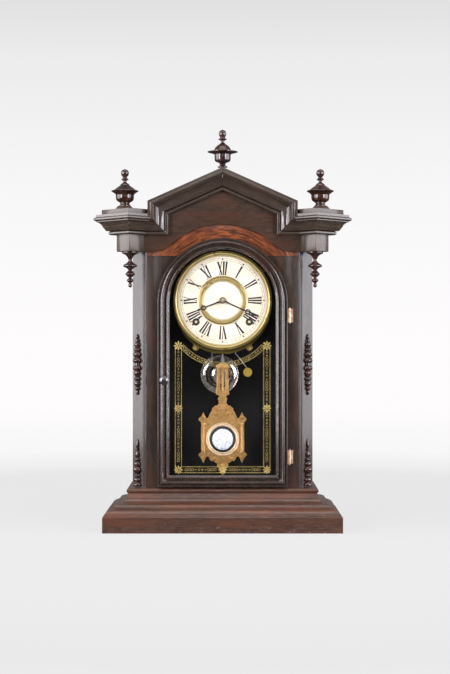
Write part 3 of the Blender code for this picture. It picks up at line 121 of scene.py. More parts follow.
def wood_grain(tree, grain):
    """Coordinates stretched along the grain: fibres show about 1.6 mm wide and 11 mm long, which
    is coarser than walnut's, so that they can be seen from across a room."""
    if grain == "RUN":
        place = add(tree, "Attribute", {}, attribute_name="grain").outputs["Vector"]
    else:
        place = add(tree, "TexCoord", {}).outputs["Object"]
    return place, add(tree, "Mapping", {"Vector": place, "Scale": GRAIN[grain]}).outputs[0]


def varnished(name, grain, stops, streak, gloss, coat=0.35, relief=0.25, mask=None):
    """Walnut, planed and finished with shellac that has darkened: brown with darker and redder
    streaks along the grain, a soft shine over open pores, and cloudy worn patches."""
    made, tree = new_material(name)
    place, along = wood_grain(tree, grain)
    pores = {"Vector": along, "Scale": 1.0, "Detail": 5.0, "Roughness": 0.62}
    fibre = add(tree, "TexNoise", pores).outputs[0]
    wide = tuple(c * 0.13 for c in GRAIN[grain])
    bands = add(tree, "Mapping", {"Vector": place, "Scale": wide, "Location": (3, 7, 5)}).outputs[0]
    figure = add(tree, "TexNoise", {"Vector": bands, "Scale": 1.0, "Detail": 3.0, "Distortion": 0.6})
    cloud = add(tree, "TexNoise", {"Vector": place, "Scale": 24.0, "Detail": 2.0})
    tone = add(tree, "ValToRGB", {0: fibre}, stops).outputs[0]
    share = add(tree, "MapRange", {0: figure.outputs[0], 1: 0.46, 2: 0.66, 4: 0.85}).outputs[0]
    mix = {0: share, 6: tone, 7: colour(streak)}
    tone = add(tree, "Mix", mix, data_type="RGBA").outputs[2]
    share = add(tree, "MapRange", {0: cloud.outputs[0], 1: 0.35, 2: 0.7, 4: 0.35}).outputs[0]
    mix = {0: share, 6: tone, 7: colour(stops[0][1])}
    tone = add(tree, "Mix", mix, data_type="RGBA").outputs[2]
    if mask:
        tone = mask(tree, tone)
    rough = add(tree, "MapRange", {0: fibre, 1: 0.3, 2: 0.7, 3: gloss + 0.10, 4: gloss}).outputs[0]
    bump = add(tree, "Bump", {"Height": fibre, "Strength": relief, "Distance": 0.0003})
    shader = add(
        tree,
        "BsdfPrincipled",
        {
            "Base Color": tone,
            "Roughness": rough,
            "Normal": bump.outputs[0],
            "IOR": 1.5,
            "Coat Weight": coat,
            "Coat Roughness": 0.10,
        },
    )
    add(tree, "OutputMaterial", {"Surface": shader.outputs[0]})
    return made


def pine_backing(name, grain, painted_shade_band):
    """Rough pine, sawn and stained: dry yellow-brown boards outside, and near black on the faces within
    the case, which is painted shade.
    """
    made, tree = new_material(name)
    place, along = wood_grain(tree, grain)
    fibre = add(tree, "TexNoise", {"Vector": along, "Scale": 1.0, "Detail": 6.0, "Roughness": 0.7})
    stops = [(0.25, "#5b4029"), (0.5, "#8a6a46"), (0.8, "#a98a60")]
    tone = add(tree, "ValToRGB", {0: fibre.outputs[0]}, stops).outputs[0]
    axis, low, high = painted_shade_band
    depth = add(tree, "SeparateXYZ", {0: place}).outputs[axis]
    share = add(tree, "MapRange", {0: depth, 1: low, 2: high}).outputs[0]
    # Near black on the faces within the case: painted shade
    mix = {0: share, 6: tone, 7: colour("#0b090a")}
    tone = add(tree, "Mix", mix, data_type="RGBA").outputs[2]
    bump = add(tree, "Bump", {"Height": fibre.outputs[0], "Strength": 0.5, "Distance": 0.0004})
    inputs = {"Base Color": tone, "Roughness": 0.75, "Normal": bump.outputs[0]}
    shader = add(tree, "BsdfPrincipled", inputs)
    add(tree, "OutputMaterial", {"Surface": shader.outputs[0]})
    return made


def turned_gloss():
    """Maple, turned and stained with dark red mahogany stain under thick shellac: almost black
    in the hollows, wine red where light strikes it, very glossy."""
    made, tree = new_material("stained_turned_maple")
    place = add(tree, "TexCoord", {}).outputs["Object"]
    patch = add(tree, "TexNoise", {"Vector": place, "Scale": 110.0, "Detail": 4.0}).outputs[0]
    stops = [(0.3, "#1a0c08"), (0.5, "#2f1710"), (0.72, "#4b271b")]
    tone = add(tree, "ValToRGB", {0: patch}, stops).outputs[0]
    rough = add(tree, "MapRange", {0: patch, 1: 0.3, 2: 0.7, 3: 0.18, 4: 0.32}).outputs[0]
    inputs = {"Base Color": tone, "Roughness": rough, "Coat Weight": 0.7, "Coat Roughness": 0.08}
    shader = add(tree, "BsdfPrincipled", inputs)
    add(tree, "OutputMaterial", {"Surface": shader.outputs[0]})
    return made


def metal(name, stops, gloss, spread=0.14, scale=260.0, weight=1.0, relief=0.12):
    """Metal with tarnish in patches 2 to 4 mm across, and a duller face where it is paler."""
    made, tree = new_material(name)
    place = add(tree, "TexCoord", {}).outputs["Object"]
    patch = add(tree, "TexNoise", {"Vector": place, "Scale": scale, "Detail": 5.0}).outputs[0]
    tone = add(tree, "ValToRGB", {0: patch}, stops).outputs[0]
    rough = add(tree, "MapRange", {0: patch, 1: 0.3, 2: 0.7, 3: gloss, 4: gloss + spread}).outputs[0]
    bump = add(tree, "Bump", {"Height": patch, "Strength": relief, "Distance": 0.0001}).outputs[0]
    inputs = {"Base Color": tone, "Metallic": weight, "Roughness": rough, "Normal": bump}
    shader = add(tree, "BsdfPrincipled", inputs)
    add(tree, "OutputMaterial", {"Surface": shader.outputs[0]})
    return made


def spun_brass():
    """Brass spun on a former and lacquered. Its colour goes by the distance from the dial's middle:
    pale gold on the beads is painted highlight, and brown in the grooves, and on the pan just beyond
    the bezel's edge, is painted shade, so that the beads and grooves read from across a room."""
    made, tree = new_material("spun_brass_painted_highlight_and_shade")
    dial = middle("dial_plate")
    place = add(tree, "TexCoord", {}).outputs["Object"]
    centred = add(tree, "VectorMath", {0: place, 1: dial}, operation="SUBTRACT").outputs["Vector"]
    flat = add(tree, "VectorMath", {0: centred, 1: (1, 0, 1)}, operation="MULTIPLY").outputs["Vector"]
    away = add(tree, "VectorMath", {0: flat}, operation="LENGTH").outputs["Value"]
    edge = HIGH["dial_bezel"].x
    ring = HIGH["dial_centre_ring"].x
    # Stops of radius from the dial's middle and colour: the pale ones are painted highlights on the beads
    # of the centre ring and bezel, the brown and dark ones painted shade in their grooves, and the dark
    # ones just past the bezel's edge painted shadow of the bezel on the pan
    lit_and_shaded_rings = [
        (0.0246, "#7d6a3c"),
        (0.0253, "#cbbd92"),
        (0.0262, "#a08c55"),
        (ring - 0.0028, "#b9a56e"),
        (ring - 0.0012, "#9a854d"),
        (ring - 0.0002, "#6b5628"),
        (ring + 0.0006, "#d6c9a2"),
        (edge - 0.0071, "#6b5425"),
        (edge - 0.0066, "#d9cda4"),
        (edge - 0.0056, "#b7a263"),
        (edge - 0.0051, "#5e4a1f"),
        (edge - 0.0044, "#cfbe88"),
        (edge - 0.0026, "#b09a58"),
        (edge - 0.0016, "#5f4a20"),
        (edge - 0.0010, "#bfa865"),
        (edge - 0.0002, "#7c6732"),
        (edge + 0.0004, "#4d421f"),
        (edge + 0.0020, "#75682f"),
        (edge + 0.0048, "#8d7f40"),
    ]
    far = 0.0700
    stops = [(radius / far, code) for radius, code in lit_and_shaded_rings]
    share = add(tree, "MapRange", {0: away, 2: far}).outputs[0]
    tone = add(tree, "ValToRGB", {0: share}, stops).outputs[0]
    patch = add(tree, "TexNoise", {"Vector": place, "Scale": 60.0, "Detail": 4.0}).outputs[0]
    rough = add(tree, "MapRange", {0: patch, 1: 0.3, 2: 0.7, 3: 0.26, 4: 0.36}).outputs[0]
    shader = add(tree, "BsdfPrincipled", {"Base Color": tone, "Metallic": 0.7, "Roughness": rough})
    add(tree, "OutputMaterial", {"Surface": shader.outputs[0]})
    return made


def brass_tipped_steel():
    """The hammer: a drawn steel wire stem, and a turned brass head that is paler than the plates."""
    made, tree = new_material("steel_wire_and_brass_head")
    place = add(tree, "TexCoord", {}).outputs["Object"]
    rise = add(tree, "SeparateXYZ", {0: place}).outputs["Z"]
    head = LOW["hammer"].z + 0.0118
    share = add(tree, "MapRange", {0: rise, 1: head, 2: head + 0.0002}).outputs[0]
    mix = {0: share, 6: colour("#e0bf55"), 7: colour("#b9b9bd")}
    tone = add(tree, "Mix", mix, data_type="RGBA").outputs[2]
    patch = add(tree, "TexNoise", {"Vector": place, "Scale": 300.0, "Detail": 3.0}).outputs[0]
    rough = add(tree, "MapRange", {0: patch, 1: 0.3, 2: 0.7, 3: 0.28, 4: 0.4}).outputs[0]
    shader = add(tree, "BsdfPrincipled", {"Base Color": tone, "Metallic": 0.5, "Roughness": rough})
    add(tree, "OutputMaterial", {"Surface": shader.outputs[0]})
    return made


def printed_paper():
    """Paper dial, printed and varnished once: warm cream, yellowed a little in clouds."""
    made, tree = new_material("cream_paper_dial")
    place = add(tree, "TexCoord", {}).outputs["Object"]
    patch = add(tree, "TexNoise", {"Vector": place, "Scale": 60.0, "Detail": 6.0})
    speck = add(tree, "TexNoise", {"Vector": place, "Scale": 900.0, "Detail": 2.0}).outputs[0]
    stops = [(0.3, "#cdc1a5"), (0.5, "#d7ceb8"), (0.75, "#ddd6c4")]
    tone = add(tree, "ValToRGB", {0: patch.outputs[0]}, stops).outputs[0]
    spots = add(tree, "MapRange", {0: speck, 1: 0.68, 2: 0.8, 4: 0.35}).outputs[0]
    mix = {0: spots, 6: tone, 7: colour("#cdb98f")}
    tone = add(tree, "Mix", mix, data_type="RGBA").outputs[2]
    bump = add(tree, "Bump", {"Height": speck, "Strength": 0.05, "Distance": 0.0001})
    inputs = {"Base Color": tone, "Roughness": 0.6, "Normal": bump.outputs[0]}
    shader = add(tree, "BsdfPrincipled", inputs)
    add(tree, "OutputMaterial", {"Surface": shader.outputs[0]})
    return made


def plain_ink(name, dark, light, gloss):
    """Printer's black, japanned black, and near-black rings, which on the winding holes are painted
    shade: nearly flat, a little worn.
    """
    made, tree = new_material(name)
    place = add(tree, "TexCoord", {}).outputs["Object"]
    patch = add(tree, "TexNoise", {"Vector": place, "Scale": 700.0, "Detail": 3.0}).outputs[0]
    tone = add(tree, "ValToRGB", {0: patch}, [(0.35, dark), (0.75, light)]).outputs[0]
    rough = add(tree, "MapRange", {0: patch, 1: 0.3, 2: 0.7, 3: gloss, 4: gloss + 0.15}).outputs[0]
    shader = add(tree, "BsdfPrincipled", {"Base Color": tone, "Roughness": rough})
    add(tree, "OutputMaterial", {"Surface": shader.outputs[0]})
    return made


def foil_disc():
    """Crumpled silver foil behind a lens: white, with facets about 1.5 mm wide that sparkle."""
    made, tree = new_material("crumpled_silver_foil")
    place = add(tree, "TexCoord", {}).outputs["Object"]
    facet = add(tree, "TexVoronoi", {"Vector": place, "Scale": 640.0}).outputs["Distance"]
    # Pale in the middle of each facet and grey towards its edges: painted shade in the creases
    stops = [(0.1, "#eceef2"), (0.5, "#d3d7dd"), (0.9, "#9aa0aa")]
    tone = add(tree, "ValToRGB", {0: facet}, stops).outputs[0]
    bump = add(tree, "Bump", {"Height": facet, "Strength": 0.6, "Distance": 0.0006})
    inputs = {"Base Color": tone, "Metallic": 0.25, "Roughness": 0.35, "Normal": bump.outputs[0]}
    shader = add(tree, "BsdfPrincipled", inputs)
    add(tree, "OutputMaterial", {"Surface": shader.outputs[0]})
    return made


def window_glass():
    """Drawn sheet glass: clear and slightly wavy, and lamps light what is behind it."""
    made, tree = new_material("old_sheet_glass")
    place = add(tree, "TexCoord", {}).outputs["Object"]
    wave = add(tree, "TexNoise", {"Vector": place, "Scale": 14.0, "Detail": 1.0})
    bump = add(tree, "Bump", {"Height": wave.outputs[0], "Strength": 0.02, "Distance": 0.001})
    inputs = {
        "Base Color": (1, 1, 1, 1),
        "Roughness": 0.0,
        "IOR": 1.45,
        "Transmission Weight": 1.0,
        "Normal": bump.outputs[0],
    }
    glass = add(tree, "BsdfPrincipled", inputs)
    clear = add(tree, "BsdfTransparent", {"Color": (0.97, 0.98, 0.97, 1)})
    lamp = add(tree, "LightPath", {}).outputs["Is Shadow Ray"]
    shader = add(tree, "MixShader", {0: lamp, 1: glass.outputs[0], 2: clear.outputs[0]})
    add(tree, "OutputMaterial", {"Surface": shader.outputs[0]})
    return made


def frame_veneer(tree, tone):
    """Above the springing of the arch the veneer is orange walnut laid round the arch, with a joint
    across each side; below it the stiles are plain brown."""
    place = add(tree, "TexCoord", {}).outputs["Object"]
    centre = {0: place, 1: middle("dial_plate")}
    centred = add(tree, "VectorMath", centre, operation="SUBTRACT").outputs["Vector"]
    parts = add(tree, "SeparateXYZ", {0: centred}).outputs
    flat = add(tree, "CombineXYZ", {"X": parts["X"], "Y": parts["Z"]}).outputs[0]
    away = add(tree, "VectorMath", {0: flat}, operation="LENGTH").outputs["Value"]
    turn = add(tree, "Math", {0: parts["Z"], 1: parts["X"]}, operation="ARCTAN2").outputs[0]
    across = add(tree, "Math", {0: away, 1: 480.0}, operation="MULTIPLY").outputs[0]
    along = add(tree, "Math", {0: turn, 1: 5.5}, operation="MULTIPLY").outputs[0]
    polar = add(tree, "CombineXYZ", {"X": across, "Y": along}).outputs[0]
    curl = add(tree, "TexNoise", {"Vector": polar, "Scale": 1.0, "Detail": 5.0, "Distortion": 0.5})
    stops = [(0.32, "#32180d"), (0.46, "#5c2d15"), (0.58, "#834521"), (0.72, "#9a562a")]
    warm = add(tree, "ValToRGB", {0: curl.outputs[0]}, stops).outputs[0]
    edges = {0: parts["Z"], 1: SPRINGING, 2: SPRINGING + 0.0008}
    above = add(tree, "MapRange", edges).outputs[0]
    tone = add(tree, "Mix", {0: above, 6: tone, 7: warm}, data_type="RGBA").outputs[2]
    joint = {0: parts["Z"], 1: SPRINGING, 2: 0.0005}
    near = add(tree, "Math", joint, operation="COMPARE").outputs[0]
    mix = {0: near, 6: tone, 7: colour("#1a0f0a")}
    return add(tree, "Mix", mix, data_type="RGBA").outputs[2]


def scuffed(tree, tone):
    """The plinth has been knocked: pale bare dents and blue-grey bloom near its foot."""
    place = add(tree, "TexCoord", {}).outputs["Object"]
    rise = add(tree, "SeparateXYZ", {0: place}).outputs["Z"]
    dents = add(tree, "TexNoise", {"Vector": place, "Scale": 210.0, "Detail": 6.0, "Roughness": 0.7})
    low = add(tree, "MapRange", {0: rise, 1: 0.016, 2: 0.001}).outputs[0]
    marks = add(tree, "MapRange", {0: dents.outputs[0], 1: 0.60, 2: 0.70}).outputs[0]
    share = add(tree, "Math", {0: marks, 1: low}, operation="MULTIPLY").outputs[0]
    mix = {0: share, 6: tone, 7: colour("#8d8f9d")}
    return add(tree, "Mix", mix, data_type="RGBA").outputs[2]


def make_materials():
    """Every finish on the clock, by the name of what it is."""
    made = {}
    # One walnut, darkened by old shellac: nearly black on the case, greyer on the crown, where dust
    # lies in the polish, and redder on the panel and the base, where it has worn
    case = [(0.28, "#18110d"), (0.5, "#30251d"), (0.74, "#473a2f")]
    crown = [(0.28, "#271e17"), (0.5, "#403329"), (0.74, "#5b4a3c")]
    panel = [(0.28, "#20150e"), (0.5, "#3d2b1f"), (0.74, "#5a4230")]
    base = [(0.28, "#2c1912"), (0.5, "#4b3226"), (0.74, "#6a4b3a")]
    made["case_up"] = varnished("case_walnut", "Z", case, "#402a1c", 0.30, 0.6)
    made["case_run"] = varnished("moulded_walnut", "RUN", crown, "#3b2a20", 0.24, 0.8, 0.12)
    made["door_run"] = varnished("door_walnut", "RUN", case, "#4d332a", 0.22, 0.9, 0.12)
    made["block"] = varnished("block_walnut", "Z", crown, "#5a4033", 0.26, 0.5)
    made["slab"] = varnished("slab_walnut", "X", crown, "#4a3a2e", 0.30, 0.4)
    made["pediment"] = varnished("pediment_walnut", "X", panel, "#4c2d1d", 0.34, 0.3)
    made["frame"] = varnished("front_veneer", "Z", case, "#4b2d1f", 0.30, 0.4, 0.2, frame_veneer)
    made["base_run"] = varnished("base_walnut", "RUN", base, "#653722", 0.30, 0.4, 0.3, scuffed)
    made["turned"] = turned_gloss()
    # Pine boards, near black on their faces within the case as painted shade
    made["backboard"] = pine_backing("backboard_pine", "Z", ("Y", BACK - 0.0060, BACK - 0.0062))
    made["floor_board"] = pine_backing("floor_pine", "X", ("Z", 0.045, 0.046))
    made["bezel"] = spun_brass()
    # Rolled brass is bright and yellow; the works are cut from it, and their brass is painted darker
    # brown as shade within the case
    brass = [(0.3, "#9c8240"), (0.5, "#bfa35a"), (0.75, "#dcc68a")]
    made["brass"] = metal("rolled_brass", brass, 0.30)
    wheel = [(0.3, "#6e5526"), (0.5, "#94743a"), (0.75, "#b8985a")]
    made["wheels"] = metal("cut_brass_painted_shade", wheel, 0.36)
    # Cast zinc, gilded: warm gold with a soft sheen, and a paler, pinker copy for the raised rim round
    # the foil, whose paleness is painted highlight
    gilt = [(0.3, "#a5804a"), (0.5, "#b98f55"), (0.75, "#cda76c")]
    made["gilt"] = metal("gilded_zinc", gilt, 0.28, 0.06, 420.0, 0.75, 0.05)
    worn = [(0.3, "#c5a884"), (0.7, "#e6cfae")]
    made["highlit_gilt"] = metal("paler_gilded_zinc_painted_highlight", worn, 0.28, 0.06, weight=0.6)
    # Stamped hinge leaves, pinkish and dull, and paler than brass: the paleness is painted highlight on
    # the narrow knuckles
    pale_hinge_tones = [(0.3, "#c0977a"), (0.7, "#f2d6bd")]
    made["hinge"] = metal("pale_hinge_painted_highlight", pale_hinge_tones, 0.34, weight=0.6)
    # Bronze powder dusted on varnish: a flat, greenish gold
    bronze = [(0.3, "#8e7836"), (0.7, "#cdb873")]
    made["gold_leaf"] = metal("bronze_powder_stencil", bronze, 0.4, weight=0.5)
    # Silvering that has yellowed, as on the bead round the dial's middle
    silver = [(0.3, "#bcae84"), (0.7, "#dccfa8")]
    made["silvered"] = metal("silvered_brass", silver, 0.35, weight=0.7)
    # Pewter and steel are grey with a soft shine, and nickel plate is a warm white mirror
    made["pewter"] = metal("cast_pewter", [(0.3, "#5f5c5a"), (0.7, "#918e8c")], 0.26)
    made["steel"] = metal("rolled_steel", [(0.3, "#77777a"), (0.7, "#a9a9ab")], 0.34)
    made["nickel"] = metal("nickel_plate", [(0.3, "#d2cdc3"), (0.7, "#f1ede4")], 0.16, 0.06)
    made["hammer"] = brass_tipped_steel()
    made["hands"] = plain_ink("japanned_steel", "#0c0c10", "#22222a", 0.32)
    made["ink"] = plain_ink("printed_ink", "#0b0d14", "#1d202c", 0.55)
    # Near black: on the winding bushes painted shade of the winding holes, and round the bob's foil a
    # black ring
    made["dark_ring"] = plain_ink("black_ring_and_painted_hole_shade", "#0d0b0a", "#2a2420", 0.35)
    made["paper"] = printed_paper()
    made["foil"] = foil_disc()
    made["glass"] = window_glass()
    return made


finishes = make_materials()


# ---------------------------------------------------------------- modelling

def finish(name, bm, material, body, replaces=(), sharp=35):
    """Turns a bmesh into a piece of the clock that rides on a body."""
    bmesh.ops.remove_doubles(bm, verts=bm.verts, dist=WELD)
    bmesh.ops.recalc_face_normals(bm, faces=bm.faces)
    mesh = bpy.data.meshes.new(name)
    bm.to_mesh(mesh)
    bm.free()
    mesh.shade_smooth()
    mesh.set_sharp_from_angle(angle=radians(sharp))
    made = bpy.data.objects.new(name, mesh)
    bpy.context.scene.collection.objects.link(made)
    mesh.materials.append(finishes[material])
    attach(made, body)
    if replaces:
        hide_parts(*replaces)
    return made


def paint(node, material):
    """Gives a node that keeps its own shape its finish."""
    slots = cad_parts[node].data.materials
    slots.clear()
    slots.append(finishes[material])


def thicken(bm, shift):
    """Gives the flat faces of a mesh a thickness."""
    made = bmesh.ops.extrude_face_region(bm, geom=list(bm.faces))["geom"]
    fresh = [item for item in made if isinstance(item, bmesh.types.BMVert)]
    bmesh.ops.translate(bm, verts=fresh, vec=shift)


def soften(bm, edges, width, segments):
    bmesh.ops.bevel(
        bm,
        geom=edges,
        offset=width,
        offset_type="OFFSET",
        affect="EDGES",
        segments=segments,
        profile=0.5,
        material=-1,
        clamp_overlap=True,
    )


def flowing(points, steps=4):
    """A smooth line through points."""
    padded = [points[0], *points, points[-1]]
    line = []
    for before, start, end, after in zip(padded, padded[1:], padded[2:], padded[3:]):
        for step in range(steps):
            t = step / steps
            point = []
            for a, b, c, d in zip(before, start, end, after):
                bend = (2 * a - 5 * b + 4 * c - d) * t * t + (3 * b - a - 3 * c + d) * t**3
                point.append(0.5 * (2 * b + (c - a) * t + bend))
            line.append(tuple(point))
    line.append(points[-1])
    return line


def outline_of(runs, steps=4):
    """Runs of points joined at sharp corners."""
    line = []
    for run in runs:
        line += flowing(run, steps) if len(run) > 2 else list(run)
    return line


def turning(
    name, runs, at, axis, material, body, slot, replaces=(), segments=48, angle=2 * pi, start=0
):
    """Spins a profile of (radius, distance along the axis), all the way round unless told an angle."""
    bm = bmesh.new()
    verts = [bm.verts.new((r * cos(start), r * sin(start), h)) for r, h in outline_of(runs)]
    edges = [bm.edges.new(pair) for pair in zip(verts, verts[1:])]
    full = angle > 6.28
    bmesh.ops.spin(
        bm,
        geom=verts + edges,
        cent=(0, 0, 0),
        axis=(0, 0, 1),
        angle=angle,
        steps=segments,
        use_merge=full,
        use_duplicate=False,
    )
    if not full:
        bmesh.ops.remove_doubles(bm, verts=bm.verts, dist=WELD)
        bmesh.ops.holes_fill(bm, edges=[e for e in bm.edges if e.is_boundary], sides=0)
    if axis == "Y":
        bmesh.ops.rotate(bm, verts=bm.verts, cent=(0, 0, 0), matrix=Matrix.Rotation(-pi / 2, 3, "X"))
    bmesh.ops.translate(bm, verts=bm.verts, vec=at)
    return finish(name, bm, material, body, replaces)


def moulding(name, section, stations, material, body, slot, replaces=(), looped=False, sharp=30):
    """Draws a section of (out, up) through stations of (place, across, rise). The grain follows
    the run: its first number is how far along it is, and its second how far round the section."""
    bm = bmesh.new()
    number = bm.verts.layers.int.new("number")
    grain = bm.verts.layers.float_vector.new("grain")
    around = [0.0]
    for first, second in zip(section, section[1:]):
        around.append(around[-1] + hypot(second[0] - first[0], second[1] - first[1]))

    def put(vert, station, run):
        place, across, rise = station
        out, up = section[vert[number]]
        vert.co = place + across * out + rise * up
        vert[grain] = (run, around[vert[number]], 0)

    verts = []
    for i in range(len(section)):
        vert = bm.verts.new()
        vert[number] = i
        put(vert, stations[0], 0.0)
        verts.append(vert)
    edges = [bm.edges.new(pair) for pair in zip(verts, verts[1:] + verts[:1])]
    ends = [list(edges)]
    run = 0.0
    for before, station in zip(stations, stations[1:]):
        run += (station[0] - before[0]).length
        made = bmesh.ops.extrude_edge_only(bm, edges=edges)["geom"]
        fresh = {item for item in made if isinstance(item, bmesh.types.BMVert)}
        for vert in fresh:
            put(vert, station, run)
        found = [item for item in made if isinstance(item, bmesh.types.BMEdge)]
        edges = [edge for edge in found if set(edge.verts) <= fresh]
    ends.append(edges)
    if looped:
        bmesh.ops.bridge_loops(bm, edges=ends[0] + ends[1])
    else:
        for end in ends:
            bmesh.ops.holes_fill(bm, edges=end, sides=0)
    return finish(name, bm, material, body, replaces, sharp)


def slab(
    name, outline, depth0, depth1, material, body, slot, replaces=(), bevel=0.0, segments=2, cuts=()
):
    """A flat piece cut to an outline of (x, height) and bevelled along its front edge."""
    bm = bmesh.new()
    loops = []
    for loop in (outline, *cuts):
        verts = [bm.verts.new((x, FRONT + depth1, z)) for x, z in loop]
        loops += [bm.edges.new(pair) for pair in zip(verts, verts[1:] + verts[:1])]
    bmesh.ops.triangle_fill(bm, edges=loops, use_beauty=True, use_dissolve=True)
    thicken(bm, (0, depth0 - depth1, 0))
    if bevel:
        front = [e for e in bm.edges if all(abs(v.co.y - FRONT - depth0) < 1e-7 for v in e.verts)]
        rim = [e for e in front if e.is_manifold and e.calc_face_angle() > 1.0]
        soften(bm, rim, bevel, segments)
    return finish(name, bm, material, body, replaces)


def eased(name, node, material, body, width=0.0005):
    """A CAD board copied, welded and given the small round that a hand plane leaves on its edges."""
    bm = bmesh.new()
    bm.from_mesh(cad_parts[node].data)
    bmesh.ops.remove_doubles(bm, verts=bm.verts, dist=0.00001)
    bmesh.ops.dissolve_limit(bm, angle_limit=radians(0.5), verts=bm.verts, edges=bm.edges)
    edges = [e for e in bm.edges if e.is_manifold and e.calc_face_angle() > radians(30)]
    soften(bm, edges, width, 2)
    return finish(name, bm, material, body, (node,))


def arch(radius, centre, start, end, steps):
    """Points along an arc."""
    points = []
    for step in range(steps + 1):
        turn = start + (end - start) * step / steps
        points.append((centre[0] + radius * cos(turn), centre[1] + radius * sin(turn)))
    return points


def bisector(first, second):
    """The line that a mitre between two outward directions follows."""
    total = Vector(first) + Vector(second)
    return total * 2 / total.length_squared


# ---------------------------------------------------------------- base, crown and boards

BASE_RUNS = [
    [(0.0436, 0.0), (0.0436, 0.0208)],
    [(0.0433, 0.0211), (0.0411, 0.0223)],
    [(0.0408, 0.0240), (0.0391, 0.0268), (0.0366, 0.0292), (0.0333, 0.0307), (0.0293, 0.0319)],
    [(0.0291, 0.0331), (0.0271, 0.0357), (0.0225, 0.0371)],
    [(0.0194, 0.0376), (0.0166, 0.0390), (0.0142, 0.0416), (0.0129, 0.0446), (0.0117, 0.0498)],
    [(0.0112, 0.0504), (0.0126, 0.0512), (0.0133, 0.0533), (0.0126, 0.0554), (0.0108, 0.0565)],
    [(0.0, 0.0565), (0.0, 0.0)],
]

CROWN_RUNS = [
    [(0.0, 0.0), (0.0046, 0.0)],
    [(0.0046, 0.0), (0.0060, 0.0008), (0.0066, 0.0025), (0.0060, 0.0042), (0.0049, 0.0050)],
    [(0.0086, 0.0054), (0.0092, 0.0064), (0.0102, 0.0084)],
    [(0.0112, 0.0098), (0.0121, 0.0124), (0.0136, 0.0146), (0.0154, 0.0164), (0.0172, 0.0171)],
    [(0.0174, 0.0181)],
    [(0.0176, 0.0183), (0.0191, 0.0190), (0.0197, 0.0207), (0.0191, 0.0224), (0.0176, 0.0231)],
    [(0.0174, 0.0234), (0.0174, 0.0264)],
    [(0.0, 0.0264)],
]


def scaled(runs, out, up):
    """A section at the size that the case calls for."""
    line = outline_of(runs, 3)
    widest = max(o for o, _ in line)
    tallest = max(h for _, h in line)
    return [(o * out / widest, h * up / tallest) for o, h in line]


def make_base():
    inner = HIGH["base_board"].x + GAP
    rail = HIGH["base_moulding"].x - inner
    ahead = LOW["base_moulding"].y + rail
    section = scaled(BASE_RUNS, rail, HIGH["base_moulding"].z)
    corner = bisector((1, 0), (0, -1))
    up = Vector((0, 0, 1))
    stations = [
        (Vector((inner, BACK, 0)), Vector((1, 0, 0)), up),
        (Vector((inner, ahead, 0)), corner.to_3d(), up),
        (Vector((-inner, ahead, 0)), Vector((-corner.x, corner.y, 0)), up),
        (Vector((-inner, BACK, 0)), Vector((-1, 0, 0)), up),
    ]
    moulding("base", section, stations, "base_run", "case", "wood_red_brown", ("base_moulding",))


def make_crown():
    """Along the side, round the corner block, along the frieze, up, and up the rake to the peak."""
    low = LOW["crown_right"]
    high = HIGH["crown_right"]
    block = middle("pendant_right")
    side_x = HIGH["side_right"].x + GAP
    base = low.z
    tall = HIGH["side_right"].z + GAP - base
    face = LOW["pediment_board"].y - GAP
    corner = (high.x - block.x) - CROWN_REACH * sqrt(2)
    block_out = block.x + corner
    back_of_block = block.y + (block_out - side_x)
    inner_x = block.x - (corner - (block.y - face))
    slant = 1 / sqrt(2)
    rise_z = base + CROWN_RISE
    peak = rise_z + CROWN_TURN_X * tan(RAKE)
    section = scaled(CROWN_RUNS, CROWN_REACH, tall)
    up = Vector((0, 0, 1))
    ahead = Vector((0, -1, 0))
    stations = []
    for x, y, first, second in (
        (side_x, BACK, (1, 0), (1, 0)),
        (side_x, back_of_block, (1, 0), (slant, slant)),
        (block_out, block.y, (slant, slant), (slant, -slant)),
        (block.x, block.y - corner, (slant, -slant), (-slant, -slant)),
        (inner_x, face, (-slant, -slant), (0, -1)),
    ):
        stations.append((Vector((x, y, base)), bisector(first, second).to_3d(), up))
    for z, first, second in ((base, (0, 1), (1, 0)), (rise_z, (1, 0), (sin(RAKE), cos(RAKE)))):
        rise = bisector(first, second)
        stations.append((Vector((CROWN_TURN_X, face, z)), ahead, Vector((rise.x, 0, rise.y))))
    top = Vector((GAP / 2, face, peak - GAP / 2 * tan(RAKE)))
    stations.append((top, ahead, Vector((0, 0, 1 / cos(RAKE)))))
    for side, sign in (("left", -1), ("right", 1)):
        turned = []
        for place, across, rise in stations:
            flip = Vector((sign, 1, 1))
            turned.append((place * flip, across * flip, rise * flip))
        name = f"crown_moulding_{side}"
        moulding(name, section, turned, "case_run", "case", "wood_dark", (f"crown_{side}",))


def make_boards():
    """Flat boards: the CAD shape is right, and planed edges catch the light."""
    for side in ("left", "right"):
        eased(f"case_side_{side}", f"side_{side}", "case_up", "case")
        eased(f"block_{side}", f"corner_block_{side}", "block", "case", 0.0008)
    eased("crown_slab", "top_board", "slab", "case", 0.0007)
    eased("pediment", "pediment_board", "pediment", "case", 0.0006)
    eased("front_panel", "front_frame", "frame", "case", 0.0003)
    paint("backboard", "backboard")
    paint("base_board", "floor_board")


